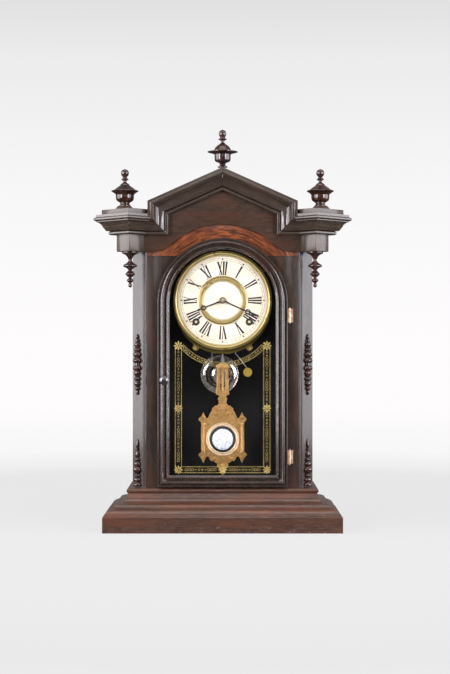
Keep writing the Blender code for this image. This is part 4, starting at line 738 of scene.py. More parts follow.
def make_pilasters():
    """The canted corner posts, with two round reeds stuck along the inner edge of the cant."""
    edge = HIGH["front_frame"].x + GAP
    outer = HIGH["side_right"].x
    cant = outer - edge
    top = HIGH["side_right"].z
    below_block = LOW["corner_block_right"].z - GAP
    foot = LOW["side_right"].z
    for side, sign in (("left", -1), ("right", 1)):
        post = [(edge, 0), (outer, cant), (edge, cant)]
        reeds = [(edge + 0.0020, 0.0040)]
        for count in range(2):
            for step in range(13):
                turn = pi * step / 12
                along = GAP + count * REED_WIDTH + REED_WIDTH * (1 - cos(turn)) / 2
                rise = REED_WIDTH / 2 * sin(turn)
                reeds.append((edge + (along + rise) / sqrt(2), (along - rise) / sqrt(2)))
        for name, outline, height in (("post", post, top), ("reeds", reeds, below_block)):
            bm = bmesh.new()
            verts = [bm.verts.new((sign * x, FRONT + d, foot)) for x, d in outline]
            bm.faces.new(verts)
            thicken(bm, (0, 0, height - foot))
            stands_for = (f"pilaster_{side}",) if name == "post" else ()
            piece = f"pilaster_{name}_{side}"
            finish(piece, bm, "case_up", "case", stands_for, 40)


# ---------------------------------------------------------------- turnings

TURNED = ("turned", "case", "turned_dark_wood")

CENTRE_FINIAL = [
    [(0.0062, 0.0), (0.0062, 0.0007)],
    [(0.0060, 0.0011), (0.0044, 0.0020), (0.0030, 0.0034)],
    [(0.0033, 0.0038), (0.0043, 0.0047), (0.0034, 0.0054)],
    [(0.0048, 0.0058), (0.0088, 0.0074), (0.0100, 0.0100), (0.0101, 0.0160)],
    [(0.0097, 0.0163), (0.0099, 0.0166)],
    [(0.0112, 0.0168), (0.0140, 0.0178), (0.0172, 0.0186), (0.0189, 0.0191)],
    [(0.0189, 0.0196), (0.0170, 0.0202), (0.0136, 0.0208), (0.0110, 0.0212)],
    [(0.0102, 0.0224), (0.0094, 0.0244), (0.0072, 0.0268), (0.0042, 0.0290), (0.0025, 0.0304)],
    [(0.0022, 0.0318), (0.0022, 0.0332)],
    [(0.0028, 0.0336), (0.0054, 0.0350), (0.0042, 0.0360), (0.0030, 0.0376)],
    [(0.0030, 0.0378), (0.0041, 0.0394), (0.0046, 0.0422), (0.0035, 0.0455), (0.0, 0.0471)],
]

SIDE_FINIAL = [
    [(0.0, 0.0), (0.0067, 0.0)],
    [(0.0068, 0.0006), (0.0064, 0.0016), (0.0056, 0.0026)],
    [(0.0056, 0.0030), (0.0062, 0.0036), (0.0062, 0.0042)],
    [(0.0070, 0.0046), (0.0102, 0.0068), (0.0113, 0.0100), (0.0114, 0.0136)],
    [(0.0118, 0.0146), (0.0130, 0.0158), (0.0158, 0.0176), (0.0171, 0.0186)],
    [(0.0168, 0.0192), (0.0140, 0.0200), (0.0122, 0.0212)],
    [(0.0114, 0.0220), (0.0088, 0.0238), (0.0068, 0.0252)],
    [(0.0062, 0.0256), (0.0048, 0.0276), (0.0026, 0.0290)],
    [(0.0021, 0.0300), (0.0021, 0.0314)],
    [(0.0026, 0.0318), (0.0047, 0.0330), (0.0036, 0.0342), (0.0023, 0.0362)],
    [(0.0026, 0.0365), (0.0043, 0.0384), (0.0050, 0.0412), (0.0038, 0.0446), (0.0, 0.0463)],
]

PENDANT = [
    [(0.0, 0.0), (0.0102, 0.0)],
    [(0.0102, -0.0006), (0.0096, -0.0020), (0.0062, -0.0036), (0.0038, -0.0060), (0.0023, -0.0090)],
    [(0.0023, -0.0112), (0.0044, -0.0136), (0.0082, -0.0160), (0.0088, -0.0176)],
    [(0.0082, -0.0186), (0.0046, -0.0202), (0.0021, -0.0226)],
    [(0.0024, -0.0230), (0.0048, -0.0258), (0.0060, -0.0277), (0.0048, -0.0294), (0.0016, -0.0322)],
    [(0.0018, -0.0326), (0.0040, -0.0346), (0.0043, -0.0358), (0.0036, -0.0370), (0.0014, -0.0390)],
    [(0.0016, -0.0394), (0.0024, -0.0412), (0.0022, -0.0432), (0.0, -0.0448)],
]

UPPER_SPINDLE = [
    [(0.0, -0.0390), (0.0018, -0.0380), (0.0022, -0.0345)],
    [(0.0017, -0.0335), (0.0030, -0.0322), (0.0040, -0.0304), (0.0030, -0.0288)],
    [(0.0024, -0.0282), (0.0040, -0.0262), (0.0043, -0.0238), (0.0030, -0.0210)],
    [(0.0040, -0.0200), (0.0050, -0.0184), (0.0040, -0.0166)],
    [(0.0028, -0.0158), (0.0042, -0.0132), (0.0046, -0.0104), (0.0034, -0.0084)],
    [(0.0050, -0.0072), (0.0065, -0.0048), (0.0052, -0.0024)],
    [(0.0036, -0.0014), (0.0036, 0.0014)],
    [(0.0052, 0.0024), (0.0065, 0.0048), (0.0052, 0.0072)],
    [(0.0036, 0.0084), (0.0050, 0.0106), (0.0054, 0.0134), (0.0036, 0.0158)],
    [(0.0040, 0.0166), (0.0050, 0.0184), (0.0040, 0.0200)],
    [(0.0030, 0.0208), (0.0042, 0.0236), (0.0042, 0.0262), (0.0024, 0.0284)],
    [(0.0036, 0.0294), (0.0036, 0.0310)],
    [(0.0018, 0.0320), (0.0024, 0.0345), (0.0014, 0.0375), (0.0, 0.0385)],
]

LOWER_SPINDLE = [
    [(0.0, -0.0300), (0.0056, -0.0300)],
    [(0.0060, -0.0292), (0.0063, -0.0274), (0.0050, -0.0256)],
    [(0.0036, -0.0246), (0.0052, -0.0226), (0.0050, -0.0202), (0.0034, -0.0186)],
    [(0.0046, -0.0176), (0.0052, -0.0162), (0.0042, -0.0148)],
    [(0.0034, -0.0138), (0.0054, -0.0112), (0.0063, -0.0086), (0.0048, -0.0058)],
    [(0.0034, -0.0050), (0.0050, -0.0028), (0.0048, -0.0004), (0.0030, 0.0018)],
    [(0.0040, 0.0026), (0.0044, 0.0040), (0.0034, 0.0056)],
    [(0.0024, 0.0064), (0.0034, 0.0096), (0.0028, 0.0128), (0.0016, 0.0150)],
    [(0.0028, 0.0160), (0.0028, 0.0174)],
    [(0.0014, 0.0182), (0.0022, 0.0220), (0.0012, 0.0280), (0.0, 0.0298)],
]


def make_turnings():
    centre = middle("finial_centre")
    peg = [[(0.0, -0.0085), (0.0030, -0.0085)], [(0.0030, 0.0)]]
    seat = HIGH["finial_centre"].z - CENTRE_FINIAL[-1][-1][1]
    at = (centre.x, centre.y, seat)
    turning("finial_top", peg + CENTRE_FINIAL, at, "Z", *TURNED, ("finial_centre",))
    for side, sign in (("left", -1), ("right", 1)):
        spot = middle(f"finial_{side}")
        at = (spot.x, spot.y, LOW[f"finial_{side}"].z)
        turning(f"urn_finial_{side}", SIDE_FINIAL, at, "Z", *TURNED, (f"finial_{side}",))
        spot = middle(f"pendant_{side}")
        at = (spot.x, spot.y, HIGH[f"pendant_{side}"].z)
        turning(f"drop_pendant_{side}", PENDANT, at, "Z", *TURNED, (f"pendant_{side}",))
        make_half_spindles(side, sign)


def make_half_spindles(side, sign):
    """A turning glued up with paper, split in half and laid flat on the cant."""
    cant = HIGH["side_right"].x - HIGH["front_frame"].x - GAP
    plain = cant * sqrt(2) - 2 * REED_WIDTH - GAP
    along = (cant * sqrt(2) - plain / 2) / sqrt(2)
    foot = GAP / sqrt(2)
    x = HIGH["front_frame"].x + GAP + along + foot
    y = FRONT + along - foot
    start = -pi + sign * pi / 4
    for level, runs in (("upper", UPPER_SPINDLE), ("lower", LOWER_SPINDLE)):
        node = f"spindle_{level}_{side}"
        at = (sign * x, y, HIGH[node].z - runs[-1][-1][1])
        name = f"half_spindle_{level}_{side}"
        turning(name, runs, at, "Z", *TURNED, (node,), 16, pi, start)


# ---------------------------------------------------------------- door

def make_door():
    """One moulding goes up the stiles, over the arch and back along the foot."""
    low = LOW["door_frame"]
    high = HIGH["door_frame"]
    half = high.x
    spring = high.z - half
    front = low.y - FRONT
    back = high.y - FRONT
    shelf = back - 0.0048
    runs = [
        [(0.0, back), (0.0, front + 0.0030)],
        [(0.0004, front + 0.0026), (0.0024, front + 0.0026)],
        [(0.0028, front + 0.0034), (0.0031, front + 0.0034)],
        [(0.0033, front + 0.0022), (0.0040, front + 0.0006), (0.0055, front), (0.0070, front + 0.0008),
         (0.0076, front + 0.0030)],
        [(0.0080, front + 0.0034), (0.0098, front + 0.0042)],
        [(0.0102, front + 0.0036), (0.0108, front + 0.0020), (0.0119, front + 0.0014),
         (0.0131, front + 0.0022), (0.0137, front + 0.0040)],
        [(DOOR_WIDTH, front + 0.0046), (DOOR_WIDTH, shelf)],
        [(DOOR_WIDTH - REBATE, shelf), (DOOR_WIDTH - REBATE, back)],
    ]
    section = outline_of(runs, 4)
    ahead = Vector((0, 1, 0))
    foot = low.z

    def station(x, z, inward):
        return (Vector((x, FRONT, z)), inward, ahead)

    stations = [station(half, foot, Vector((-1, 0, 1)))]
    start = foot + 0.02
    for step in range(5):
        z = start + (spring - start) * step / 5
        stations.append(station(half, z, Vector((-1, 0, 0))))
    steps = 72
    for step in range(steps + 1):
        turn = pi * step / steps
        inward = Vector((-cos(turn), 0, -sin(turn)))
        stations.append(station(half * cos(turn), spring + half * sin(turn), inward))
    for step in range(1, 6):
        z = spring + (start - spring) * step / 5
        stations.append(station(-half, z, Vector((1, 0, 0))))
    stations.append(station(-half, foot, Vector((1, 0, 1))))
    made_of = ("door_run", "door", "wood_dark", ("door_frame",))
    moulding("door_moulding", section, stations, *made_of, looped=True)
    knob = [
        [(0.0, 0.0), (0.0052, 0.0)],
        [(0.0052, 0.0006), (0.0046, 0.0012), (0.0030, 0.0018), (0.0026, 0.0040)],
        [(0.0030, 0.0044), (0.0052, 0.0060), (0.0060, 0.0086), (0.0050, 0.0112), (0.0024, 0.0124),
         (0.0, 0.0126)],
    ]
    spot = middle("door_knob")
    at = (spot.x, HIGH["door_knob"].y, spot.z)
    forward = [[(r, -h) for r, h in run] for run in knob]
    turning("turned_knob", forward, at, "Y", "pewter", "door", "nickel", ("door_knob",), 32)
    paint("door_glass", "glass")


# ---------------------------------------------------------------- stencil on the glass

def flat_strip(bm, points, width, y, closed=False):
    """A thin painted line along points of (x, height)."""
    count = len(points)
    rows = []
    for i in range(count):
        before = points[i - 1] if (i or closed) else points[i]
        after = points[(i + 1) % count] if (i + 1 < count or closed) else points[i]
        run = Vector((after[0] - before[0], after[1] - before[1])).normalized()
        side = Vector((-run.y, run.x)) * width / 2
        x, z = points[i]
        outer = bm.verts.new((x + side.x, y, z + side.y))
        inner = bm.verts.new((x - side.x, y, z - side.y))
        rows.append((outer, inner))
    pairs = list(zip(rows, rows[1:] + rows[:1])) if closed else list(zip(rows, rows[1:]))
    for (a, b), (c, d) in pairs:
        bm.faces.new((a, b, d, c))


def oval(centre, long_way, across, turn, steps=14):
    points = []
    for step in range(steps):
        angle = 2 * pi * step / steps
        u = long_way * cos(angle)
        v = across * sin(angle)
        x = centre[0] + u * cos(turn) - v * sin(turn)
        points.append((x, centre[1] + u * sin(turn) + v * cos(turn)))
    return points


def square(centre, half, turn):
    return [
        (centre[0] + half * sqrt(2) * cos(turn + pi / 4 + k * pi / 2),
         centre[1] + half * sqrt(2) * sin(turn + pi / 4 + k * pi / 2))
        for k in range(4)
    ]


def fill(bm, points, y):
    bm.faces.new([bm.verts.new((x, y, z)) for x, z in points])


def rosette(bm, centre, radius, y):
    """Eight petals round a ring."""
    for petal in range(8):
        turn = 2 * pi * petal / 8
        reach = radius * 0.66
        at = (centre[0] + reach * cos(turn), centre[1] + reach * sin(turn))
        fill(bm, oval(at, radius * 0.34, radius * 0.17, turn, 8), y)
    flat_strip(bm, oval(centre, radius * 0.24, radius * 0.24, 0, 12), radius * 0.16, y, True)


def chain(bm, path, step, y):
    """Long links, short links and square dots by turns along a path that returns (point, turn)."""
    pattern = ("link", "link", "link", "dot", "short", "short", "dot")
    count = max(1, int(round(path(None) / step)))
    for i in range(count):
        centre, turn = path((i + 0.5) / count)
        kind = pattern[i % len(pattern)]
        if kind == "dot":
            fill(bm, square(centre, 0.0006, turn), y)
        elif kind == "link":
            flat_strip(bm, oval(centre, step * 0.44, 0.0014, turn, 12), 0.00036, y, True)
        else:
            flat_strip(bm, oval(centre, step * 0.28, 0.0009, turn, 10), 0.00034, y, True)


def make_stencil():
    """Bronze powder on the back of the glass: two side bands, a foot band, and one that hangs
    under the dial, each a chain between two lines, with a rosette at every meeting."""
    y = HIGH["door_glass"].y + PRINT_LIFT
    pane = LOW["door_glass"].z
    dial = middle("dial_plate")
    bm = bmesh.new()
    near, far = 0.0516, 0.0594
    foot = pane + 0.0062
    foot_top = foot + 0.0074
    head = dial.z - 0.0571
    waist = dial.z - 0.1355
    line = 0.00050
    for sign in (-1, 1):
        for x in (near, far):
            low = foot_top if x == near else foot
            flat_strip(bm, [(sign * x, low), (sign * x, head)], line, y)
        centre_x = sign * (near + far) / 2

        def up(share, x=centre_x):
            if share is None:
                return head - foot_top - 0.012
            return (x, foot_top + 0.006 + (head - foot_top - 0.012) * share), pi / 2

        chain(bm, up, 0.0042, y)
        centre_z = (foot + foot_top) / 2
        for z in (centre_z, waist, head):
            rosette(bm, (centre_x, z), 0.0060 if z == head else 0.0054, y)

        def along(share, side=sign, z=centre_z):
            start = 0.0075
            if share is None:
                return near - start - 0.004
            return (side * (start + (near - start - 0.004) * share), z), 0

        chain(bm, along, 0.0040, y)
    flat_strip(bm, [(-far, foot), (far, foot)], line, y)
    flat_strip(bm, [(-near, foot_top), (near, foot_top)], line, y)
    rosette(bm, (0, (foot + foot_top) / 2), 0.0058, y)
    swag = dial.z - 0.0133
    spread = radians(50)
    for radius in (0.0648, 0.0702):
        flat_strip(bm, arch(radius, (0, swag), -pi / 2 - spread, -pi / 2 + spread, 48), line * 0.9, y)

    def hang(share):
        radius = 0.0675
        if share is None:
            return radius * 2 * spread
        turn = -pi / 2 - spread + 2 * spread * share
        return (radius * cos(turn), swag + radius * sin(turn)), turn + pi / 2

    chain(bm, hang, 0.0040, y)
    thicken(bm, (0, PRINT_THICK, 0))
    finish("glass_stencil", bm, "gold_leaf", "door")


# ---------------------------------------------------------------- dial and hands

STROKES = {
    "I": (0.0031, [((0.0, 1.0), (0.0, 0.0), 0.0020)]),
    "V": (0.0058, [((-0.0019, 1.0), (0.0002, 0.0), 0.0021), ((0.0019, 1.0), (0.0004, 0.0), 0.0009)]),
    "X": (0.0058, [((-0.0019, 1.0), (0.0019, 0.0), 0.0021), ((0.0019, 1.0), (-0.0019, 0.0), 0.0008)]),
}
HOURS = ["XII", "I", "II", "III", "IIII", "V", "VI", "VII", "VIII", "IX", "X", "XI"]


def numeral(bm, text, turn, dial, y):
    """Roman figures with thick and thin strokes and hairline feet, standing on the centre."""
    inner, tall = 0.0325, 0.0168
    mid = inner + tall / 2
    total = sum(STROKES[letter][0] for letter in text)
    pen = -total / 2

    def put(across, up):
        angle = turn + across / mid
        radius = inner + tall * up
        return (radius * sin(angle), dial.z + radius * cos(angle))

    for letter in text:
        wide, strokes = STROKES[letter]
        centre = pen + wide / 2
        pen += wide
        for (top, high), (foot, low), thick in strokes:
            half = thick / 2
            corners = ((top - half, high), (top + half, high), (foot + half, low), (foot - half, low))
            fill(bm, [put(centre + across, up) for across, up in corners], y)
            reach = half + 0.0006
            for across, up in ((top, high), (foot, low)):
                edge = up + (0.034 if up < 0.5 else -0.034)
                left, right = across - reach, across + reach
                corners = ((left, up), (right, up), (right, edge), (left, edge))
                fill(bm, [put(centre + side, rise) for side, rise in corners], y)


def make_printing(dial):
    """Figures, minute track and five-minute dots, all printed at once."""
    y = LOW["dial_plate"].y - PRINT_LIFT
    track = (0.0508, 0.0533)
    bm = bmesh.new()
    for hour, text in enumerate(HOURS):
        numeral(bm, text, 2 * pi * hour / 12, dial, y)
    for radius in track:
        flat_strip(bm, arch(radius, (0, dial.z), 0, 2 * pi, 120)[:-1], 0.00030, y, True)
    for minute in range(60):
        turn = 2 * pi * minute / 60
        if minute % 5:
            ends = [(r * sin(turn), dial.z + r * cos(turn)) for r in track]
            flat_strip(bm, ends, 0.00022, y)
        else:
            spot = (0.0521 * sin(turn), dial.z + 0.0521 * cos(turn))
            fill(bm, oval(spot, 0.0010, 0.0010, 0, 10), y)
    thicken(bm, (0, PRINT_THICK, 0))
    finish("dial_printing", bm, "ink", "case")


def make_dial():
    """Spun bezel, paper disc, centre ring with a silvered bead, and bushed winding holes, whose
    near-black bushes are painted shade.
    """
    dial = middle("dial_plate")
    at = (0, FRONT, dial.z)
    outer = HIGH["dial_bezel"].x
    inner = outer - BEZEL_WIDTH
    front = LOW["dial_bezel"].y - FRONT
    face = LOW["dial_plate"].y - FRONT
    back = HIGH["dial_bezel"].y - FRONT
    bezel = [
        [(outer, back), (outer, front + 0.0036)],
        [
            (outer - 0.0001, front + 0.0030),
            (outer - 0.0008, front + 0.0020),
            (outer - 0.0014, front + 0.0020),
        ],
        [
            (outer - 0.0016, front + 0.0014),
            (outer - 0.0026, front + 0.0002),
            (outer - 0.0040, front),
            (outer - 0.0052, front + 0.0010),
        ],
        [(outer - 0.0054, front + 0.0018), (outer - 0.0060, front + 0.0019)],
        [(outer - 0.0062, front + 0.0024), (inner + 0.0001, front + 0.0048)],
        [(inner, front + 0.0050), (inner, face - GAP)],
        [(outer - 0.0012, face - GAP), (outer - 0.0012, back)],
        [(outer, back)],
    ]
    turning("spun_bezel", bezel, at, "Y", "bezel", "case", "brass", ("dial_bezel",), 128)
    ring_in = CENTRE_RING_INNER
    ring_out = HIGH["dial_centre_ring"].x
    ring = [
        [(ring_in, face - GAP), (ring_in, face - 0.0006)],
        [
            (ring_in + 0.0002, face - 0.0008),
            (ring_in + 0.0012, face - 0.0010),
            (ring_in + 0.0020, face - 0.0007),
        ],
        [
            (ring_in + 0.0022, face - 0.0007),
            (ring_out - 0.0034, face - 0.0012),
            (ring_out - 0.0014, face - 0.0012),
            (ring_out, face - 0.0005),
        ],
        [
            (ring_out + 0.0003, face - 0.0007),
            (ring_out + 0.0008, face - 0.0009),
            (ring_out + 0.0014, face - 0.0005),
        ],
        [(ring_out + 0.0014, face - GAP), (ring_in, face - GAP)],
    ]
    turning("centre_ring", ring, at, "Y", "bezel", "case", "brass", ("dial_centre_ring",), 96)
    bead = [
        [(ring_in - 0.0014, face - GAP), (ring_in - 0.0014, face - 0.0005)],
        [
            (ring_in - 0.0011, face - 0.0009),
            (ring_in - 0.0006, face - 0.0010),
            (ring_in - 0.0002, face - 0.0006),
        ],
        [(ring_in - 0.0002, face - GAP), (ring_in - 0.0014, face - GAP)],
    ]
    turning("centre_bead", bead, at, "Y", "silvered", "case", "brass", (), 96)
    make_skirt(dial, back)
    make_printing(dial)
    for side in ("time", "strike"):
        spot = middle(f"{side}_winding_arbor")
        bush = [
            [(0.0024, face - GAP), (0.0026, face - 0.0010)],
            [
                (0.0029, face - 0.0014),
                (0.0036, face - 0.0016),
                (0.0044, face - 0.0010),
                (0.0047, face - GAP),
            ],
            [(0.0024, face - GAP)],
        ]
        place = (spot.x, FRONT, spot.z)
        # The bush is near black: painted shade of the winding hole
        turning(f"{side}_winding_bush", bush, place, "Y", "dark_ring", "case", "blued_steel", (), 28)
        arbor = LOW[f"{side}_winding_arbor"].y - FRONT
        shank = square((spot.x, spot.z), 0.0015, 0)
        start = min(face - 0.0009, arbor - 0.0002)
        made_of = ("silvered", f"{side}_winder", "steel")
        slab(f"{side}_winding_square", shank, start, arbor + 0.0006, *made_of, bevel=0.0002)
    paint("dial_plate", "paper")


def make_skirt(dial, start):
    """The brass pan behind the dial, drawn down as it goes back, with screwed ears."""
    rim = HIGH["dial_pan"].y - FRONT
    # The pan and ears take the bezel's ringed brass, so just beyond the bezel's edge they are darkened by
    # painted shadow
    brass = ("bezel", "case", "brass")
    outer = HIGH["dial_bezel"].x - 0.0003
    begin = start + GAP
    runs = [
        [(outer - 0.0110, begin), (outer, begin)],
        [(outer, begin + 0.0004), (outer, rim)],
        [(outer - 0.0008, rim), (outer - 0.0008, begin + 0.0008)],
        [(outer - 0.0110, begin + 0.0008), (outer - 0.0110, begin)],
    ]
    skirt = turning("dial_skirt", runs, (0, FRONT, dial.z), "Y", *brass, ("dial_pan",), 112)
    for vert in skirt.data.vertices:
        share = (vert.co.y - FRONT - begin) / (rim - begin)
        vert.co.z -= PAN_DROP * max(0.0, share)
    for name, sign in (("left", -1), ("right", 1)):
        out = radians(-90 + sign * 32)
        ear = [(-0.0020, -0.0036), (0.0022, -0.0040), (0.0048, -0.0034), (0.0058, 0.0),
               (0.0048, 0.0034), (0.0022, 0.0040), (-0.0020, 0.0036)]
        outline = []
        for along, across in ear:
            reach = outer + along
            x = reach * cos(out) - across * sin(out)
            z = reach * sin(out) + across * cos(out) - PAN_DROP + dial.z
            outline.append((x, z))
        slab(f"skirt_ear_{name}", outline, rim - 0.0009, rim - 0.0001, *brass, bevel=0.0002)
        reach = outer + 0.0036
        centre = (reach * cos(out), FRONT, dial.z - PAN_DROP + reach * sin(out))
        head = [
            [(0.0, rim - 0.0021), (0.0012, rim - 0.0020), (0.0019, rim - 0.0014), (0.0020, rim - 0.0009)],
            [(0.0, rim - 0.0009)],
        ]
        turning(f"ear_screw_{name}", head, centre, "Y", "brass", "case", "brass", (), 16)


def make_hand(name, turn, ring_at, ring_radius, tip, depth, body, node, collet):
    """A japanned hand: a round bar, a hollow ring, and a spear point beyond it."""
    dial = middle("dial_plate")
    half = [(0.0030, 0.0013), (0.0080, 0.00090), (ring_at - ring_radius - 0.0012, 0.00080)]
    for step in range(1, 16):
        angle = pi - pi * step / 16
        half.append((ring_at + ring_radius * cos(angle), max(0.0006, ring_radius * sin(angle))))
    reach = ring_at + ring_radius
    half += [(reach + 0.0008, 0.0006), (reach + 0.0024, 0.0014)]
    half += [(reach + 0.0040, 0.0016), (tip, 0.0002)]
    shape = [(across, along) for along, across in half]
    shape += [(-across, along) for across, along in reversed(shape)]

    def turned(point):
        across, along = point
        x = across * cos(turn) + along * sin(turn)
        return (x, dial.z - across * sin(turn) + along * cos(turn))

    outline = [turned(point) for point in shape]
    bore = ring_radius - 0.0016
    hole = [turned((x, z + ring_at)) for x, z in oval((0, 0), bore, bore, 0, 20)]
    steel = ("hands", body, "blued_steel", (node,))
    slab(name, outline, depth, depth + 0.0008, *steel, bevel=0.00022, cuts=(hole,))
    turning(f"{name}_collet", collet, (0, FRONT, dial.z), "Y", "bezel", body, "brass", (), 32)


def make_hands():
    """Both hands, and the nut that holds them: they stand at about nineteen minutes past eight."""
    dial = middle("dial_plate")
    minute_depth = LOW["minute_hand"].y - FRONT + 0.0006
    arbor = 0.0018
    collet = [
        [(arbor, minute_depth), (0.0020, minute_depth - 0.0006), (0.0036, minute_depth - 0.0006)],
        [(0.0041, minute_depth - 0.0002), (0.0041, minute_depth + 0.0008)],
        [(arbor, minute_depth + 0.0008), (arbor, minute_depth)],
    ]
    long_hand = (MINUTE_ANGLE, 0.0348, 0.0036, 0.0510, minute_depth, "centre_arbor", "minute_hand")
    make_hand("long_hand", *long_hand, collet)
    hour_depth = minute_depth + 0.0018
    pipe = [
        [(0.0020, hour_depth - 0.0004), (0.0038, hour_depth - 0.0004)],
        [(0.0038, hour_depth + 0.0008), (0.0028, hour_depth + 0.0008)],
        [(0.0028, 0.0210), (0.0020, 0.0210)],
        [(0.0020, hour_depth - 0.0004)],
    ]
    short_hand = (HOUR_ANGLE, 0.0258, 0.0034, 0.0340, hour_depth, "hour_work", "hour_hand")
    make_hand("short_hand", *short_hand, pipe)
    nut = [
        [(0.0, -0.0016), (0.0009, -0.0015), (0.0013, -0.0010)],
        [(0.0022, -0.0008), (0.0026, 0.0002), (0.0022, 0.0012)],
        [(0.0, 0.0012)],
    ]
    at = (0, FRONT + minute_depth - 0.0014, dial.z)
    turning("hand_nut", nut, at, "Y", "nickel", "centre_arbor", "brass", (), 24)


# ---------------------------------------------------------------- pendulum, bell and works

BOB_EDGE = [
    [(0.0, 0.1574), (0.0058, 0.1574)],
    [(0.0060, 0.1560), (0.0078, 0.1552), (0.0100, 0.1552), (0.0108, 0.1536)],
    [(0.0122, 0.1528), (0.0134, 0.1520), (0.0136, 0.1504), (0.0128, 0.1492)],
    [(0.0146, 0.1480), (0.0164, 0.1446), (0.0172, 0.1424), (0.0188, 0.1392)],
    [(0.0212, 0.1396), (0.0216, 0.1414), (0.0226, 0.1428)],
    [(0.0245, 0.1470)],
    [(0.0264, 0.1428), (0.0274, 0.1412), (0.0288, 0.1404), (0.0304, 0.1381)],
    [(0.0292, 0.1362), (0.0276, 0.1350)],
    [(0.0272, 0.1320), (0.0272, 0.0958)],
    [(0.0290, 0.0950), (0.0304, 0.0932), (0.0290, 0.0912)],
    [(0.0274, 0.0890), (0.0262, 0.0862)],
    [(0.0244, 0.0828)],
    [(0.0228, 0.0862), (0.0216, 0.0888)],
    [(0.0206, 0.0910), (0.0182, 0.0912), (0.0168, 0.0892)],
    [(0.0160, 0.0870), (0.0140, 0.0852), (0.0118, 0.0860)],
    [(0.0106, 0.0846), (0.0084, 0.0830), (0.0066, 0.0828)],
    [(0.0070, 0.0800), (0.0066, 0.0776), (0.0046, 0.0764)],
    [(0.0034, 0.0744), (0.0030, 0.0712), (0.0014, 0.0680), (0.0, 0.0671)],
]

LEADER_EDGE = [
    [(0.0, 0.2106), (0.0022, 0.2092), (0.0040, 0.2098), (0.0054, 0.2080), (0.0080, 0.2066)],
    [(0.0082, 0.2046), (0.0074, 0.2026)],
    [(0.0074, 0.1740), (0.0084, 0.1726)],
    [(0.0084, 0.1692), (0.0056, 0.1690)],
    [(0.0048, 0.1682), (0.0042, 0.1664), (0.0060, 0.1652)],
    [(0.0060, 0.1634), (0.0050, 0.1626)],
    [(0.0052, 0.1530), (0.0, 0.1522)],
]


# Where each boss on the bob stands to the right of its middle, its height, and its radius
BOSSES = [
    ("scroll", 0.0078, 0.1455, 0.0030),
    ("foot_scroll", 0.0100, 0.0885, 0.0024),
    ("corner", 0.0244, 0.1405, 0.0022),
    ("low_corner", 0.0244, 0.0900, 0.0022),
]


def both_sides(runs):
    half = outline_of(runs, 4)
    return half + [(-x, z) for x, z in reversed(half) if x > 1e-6]


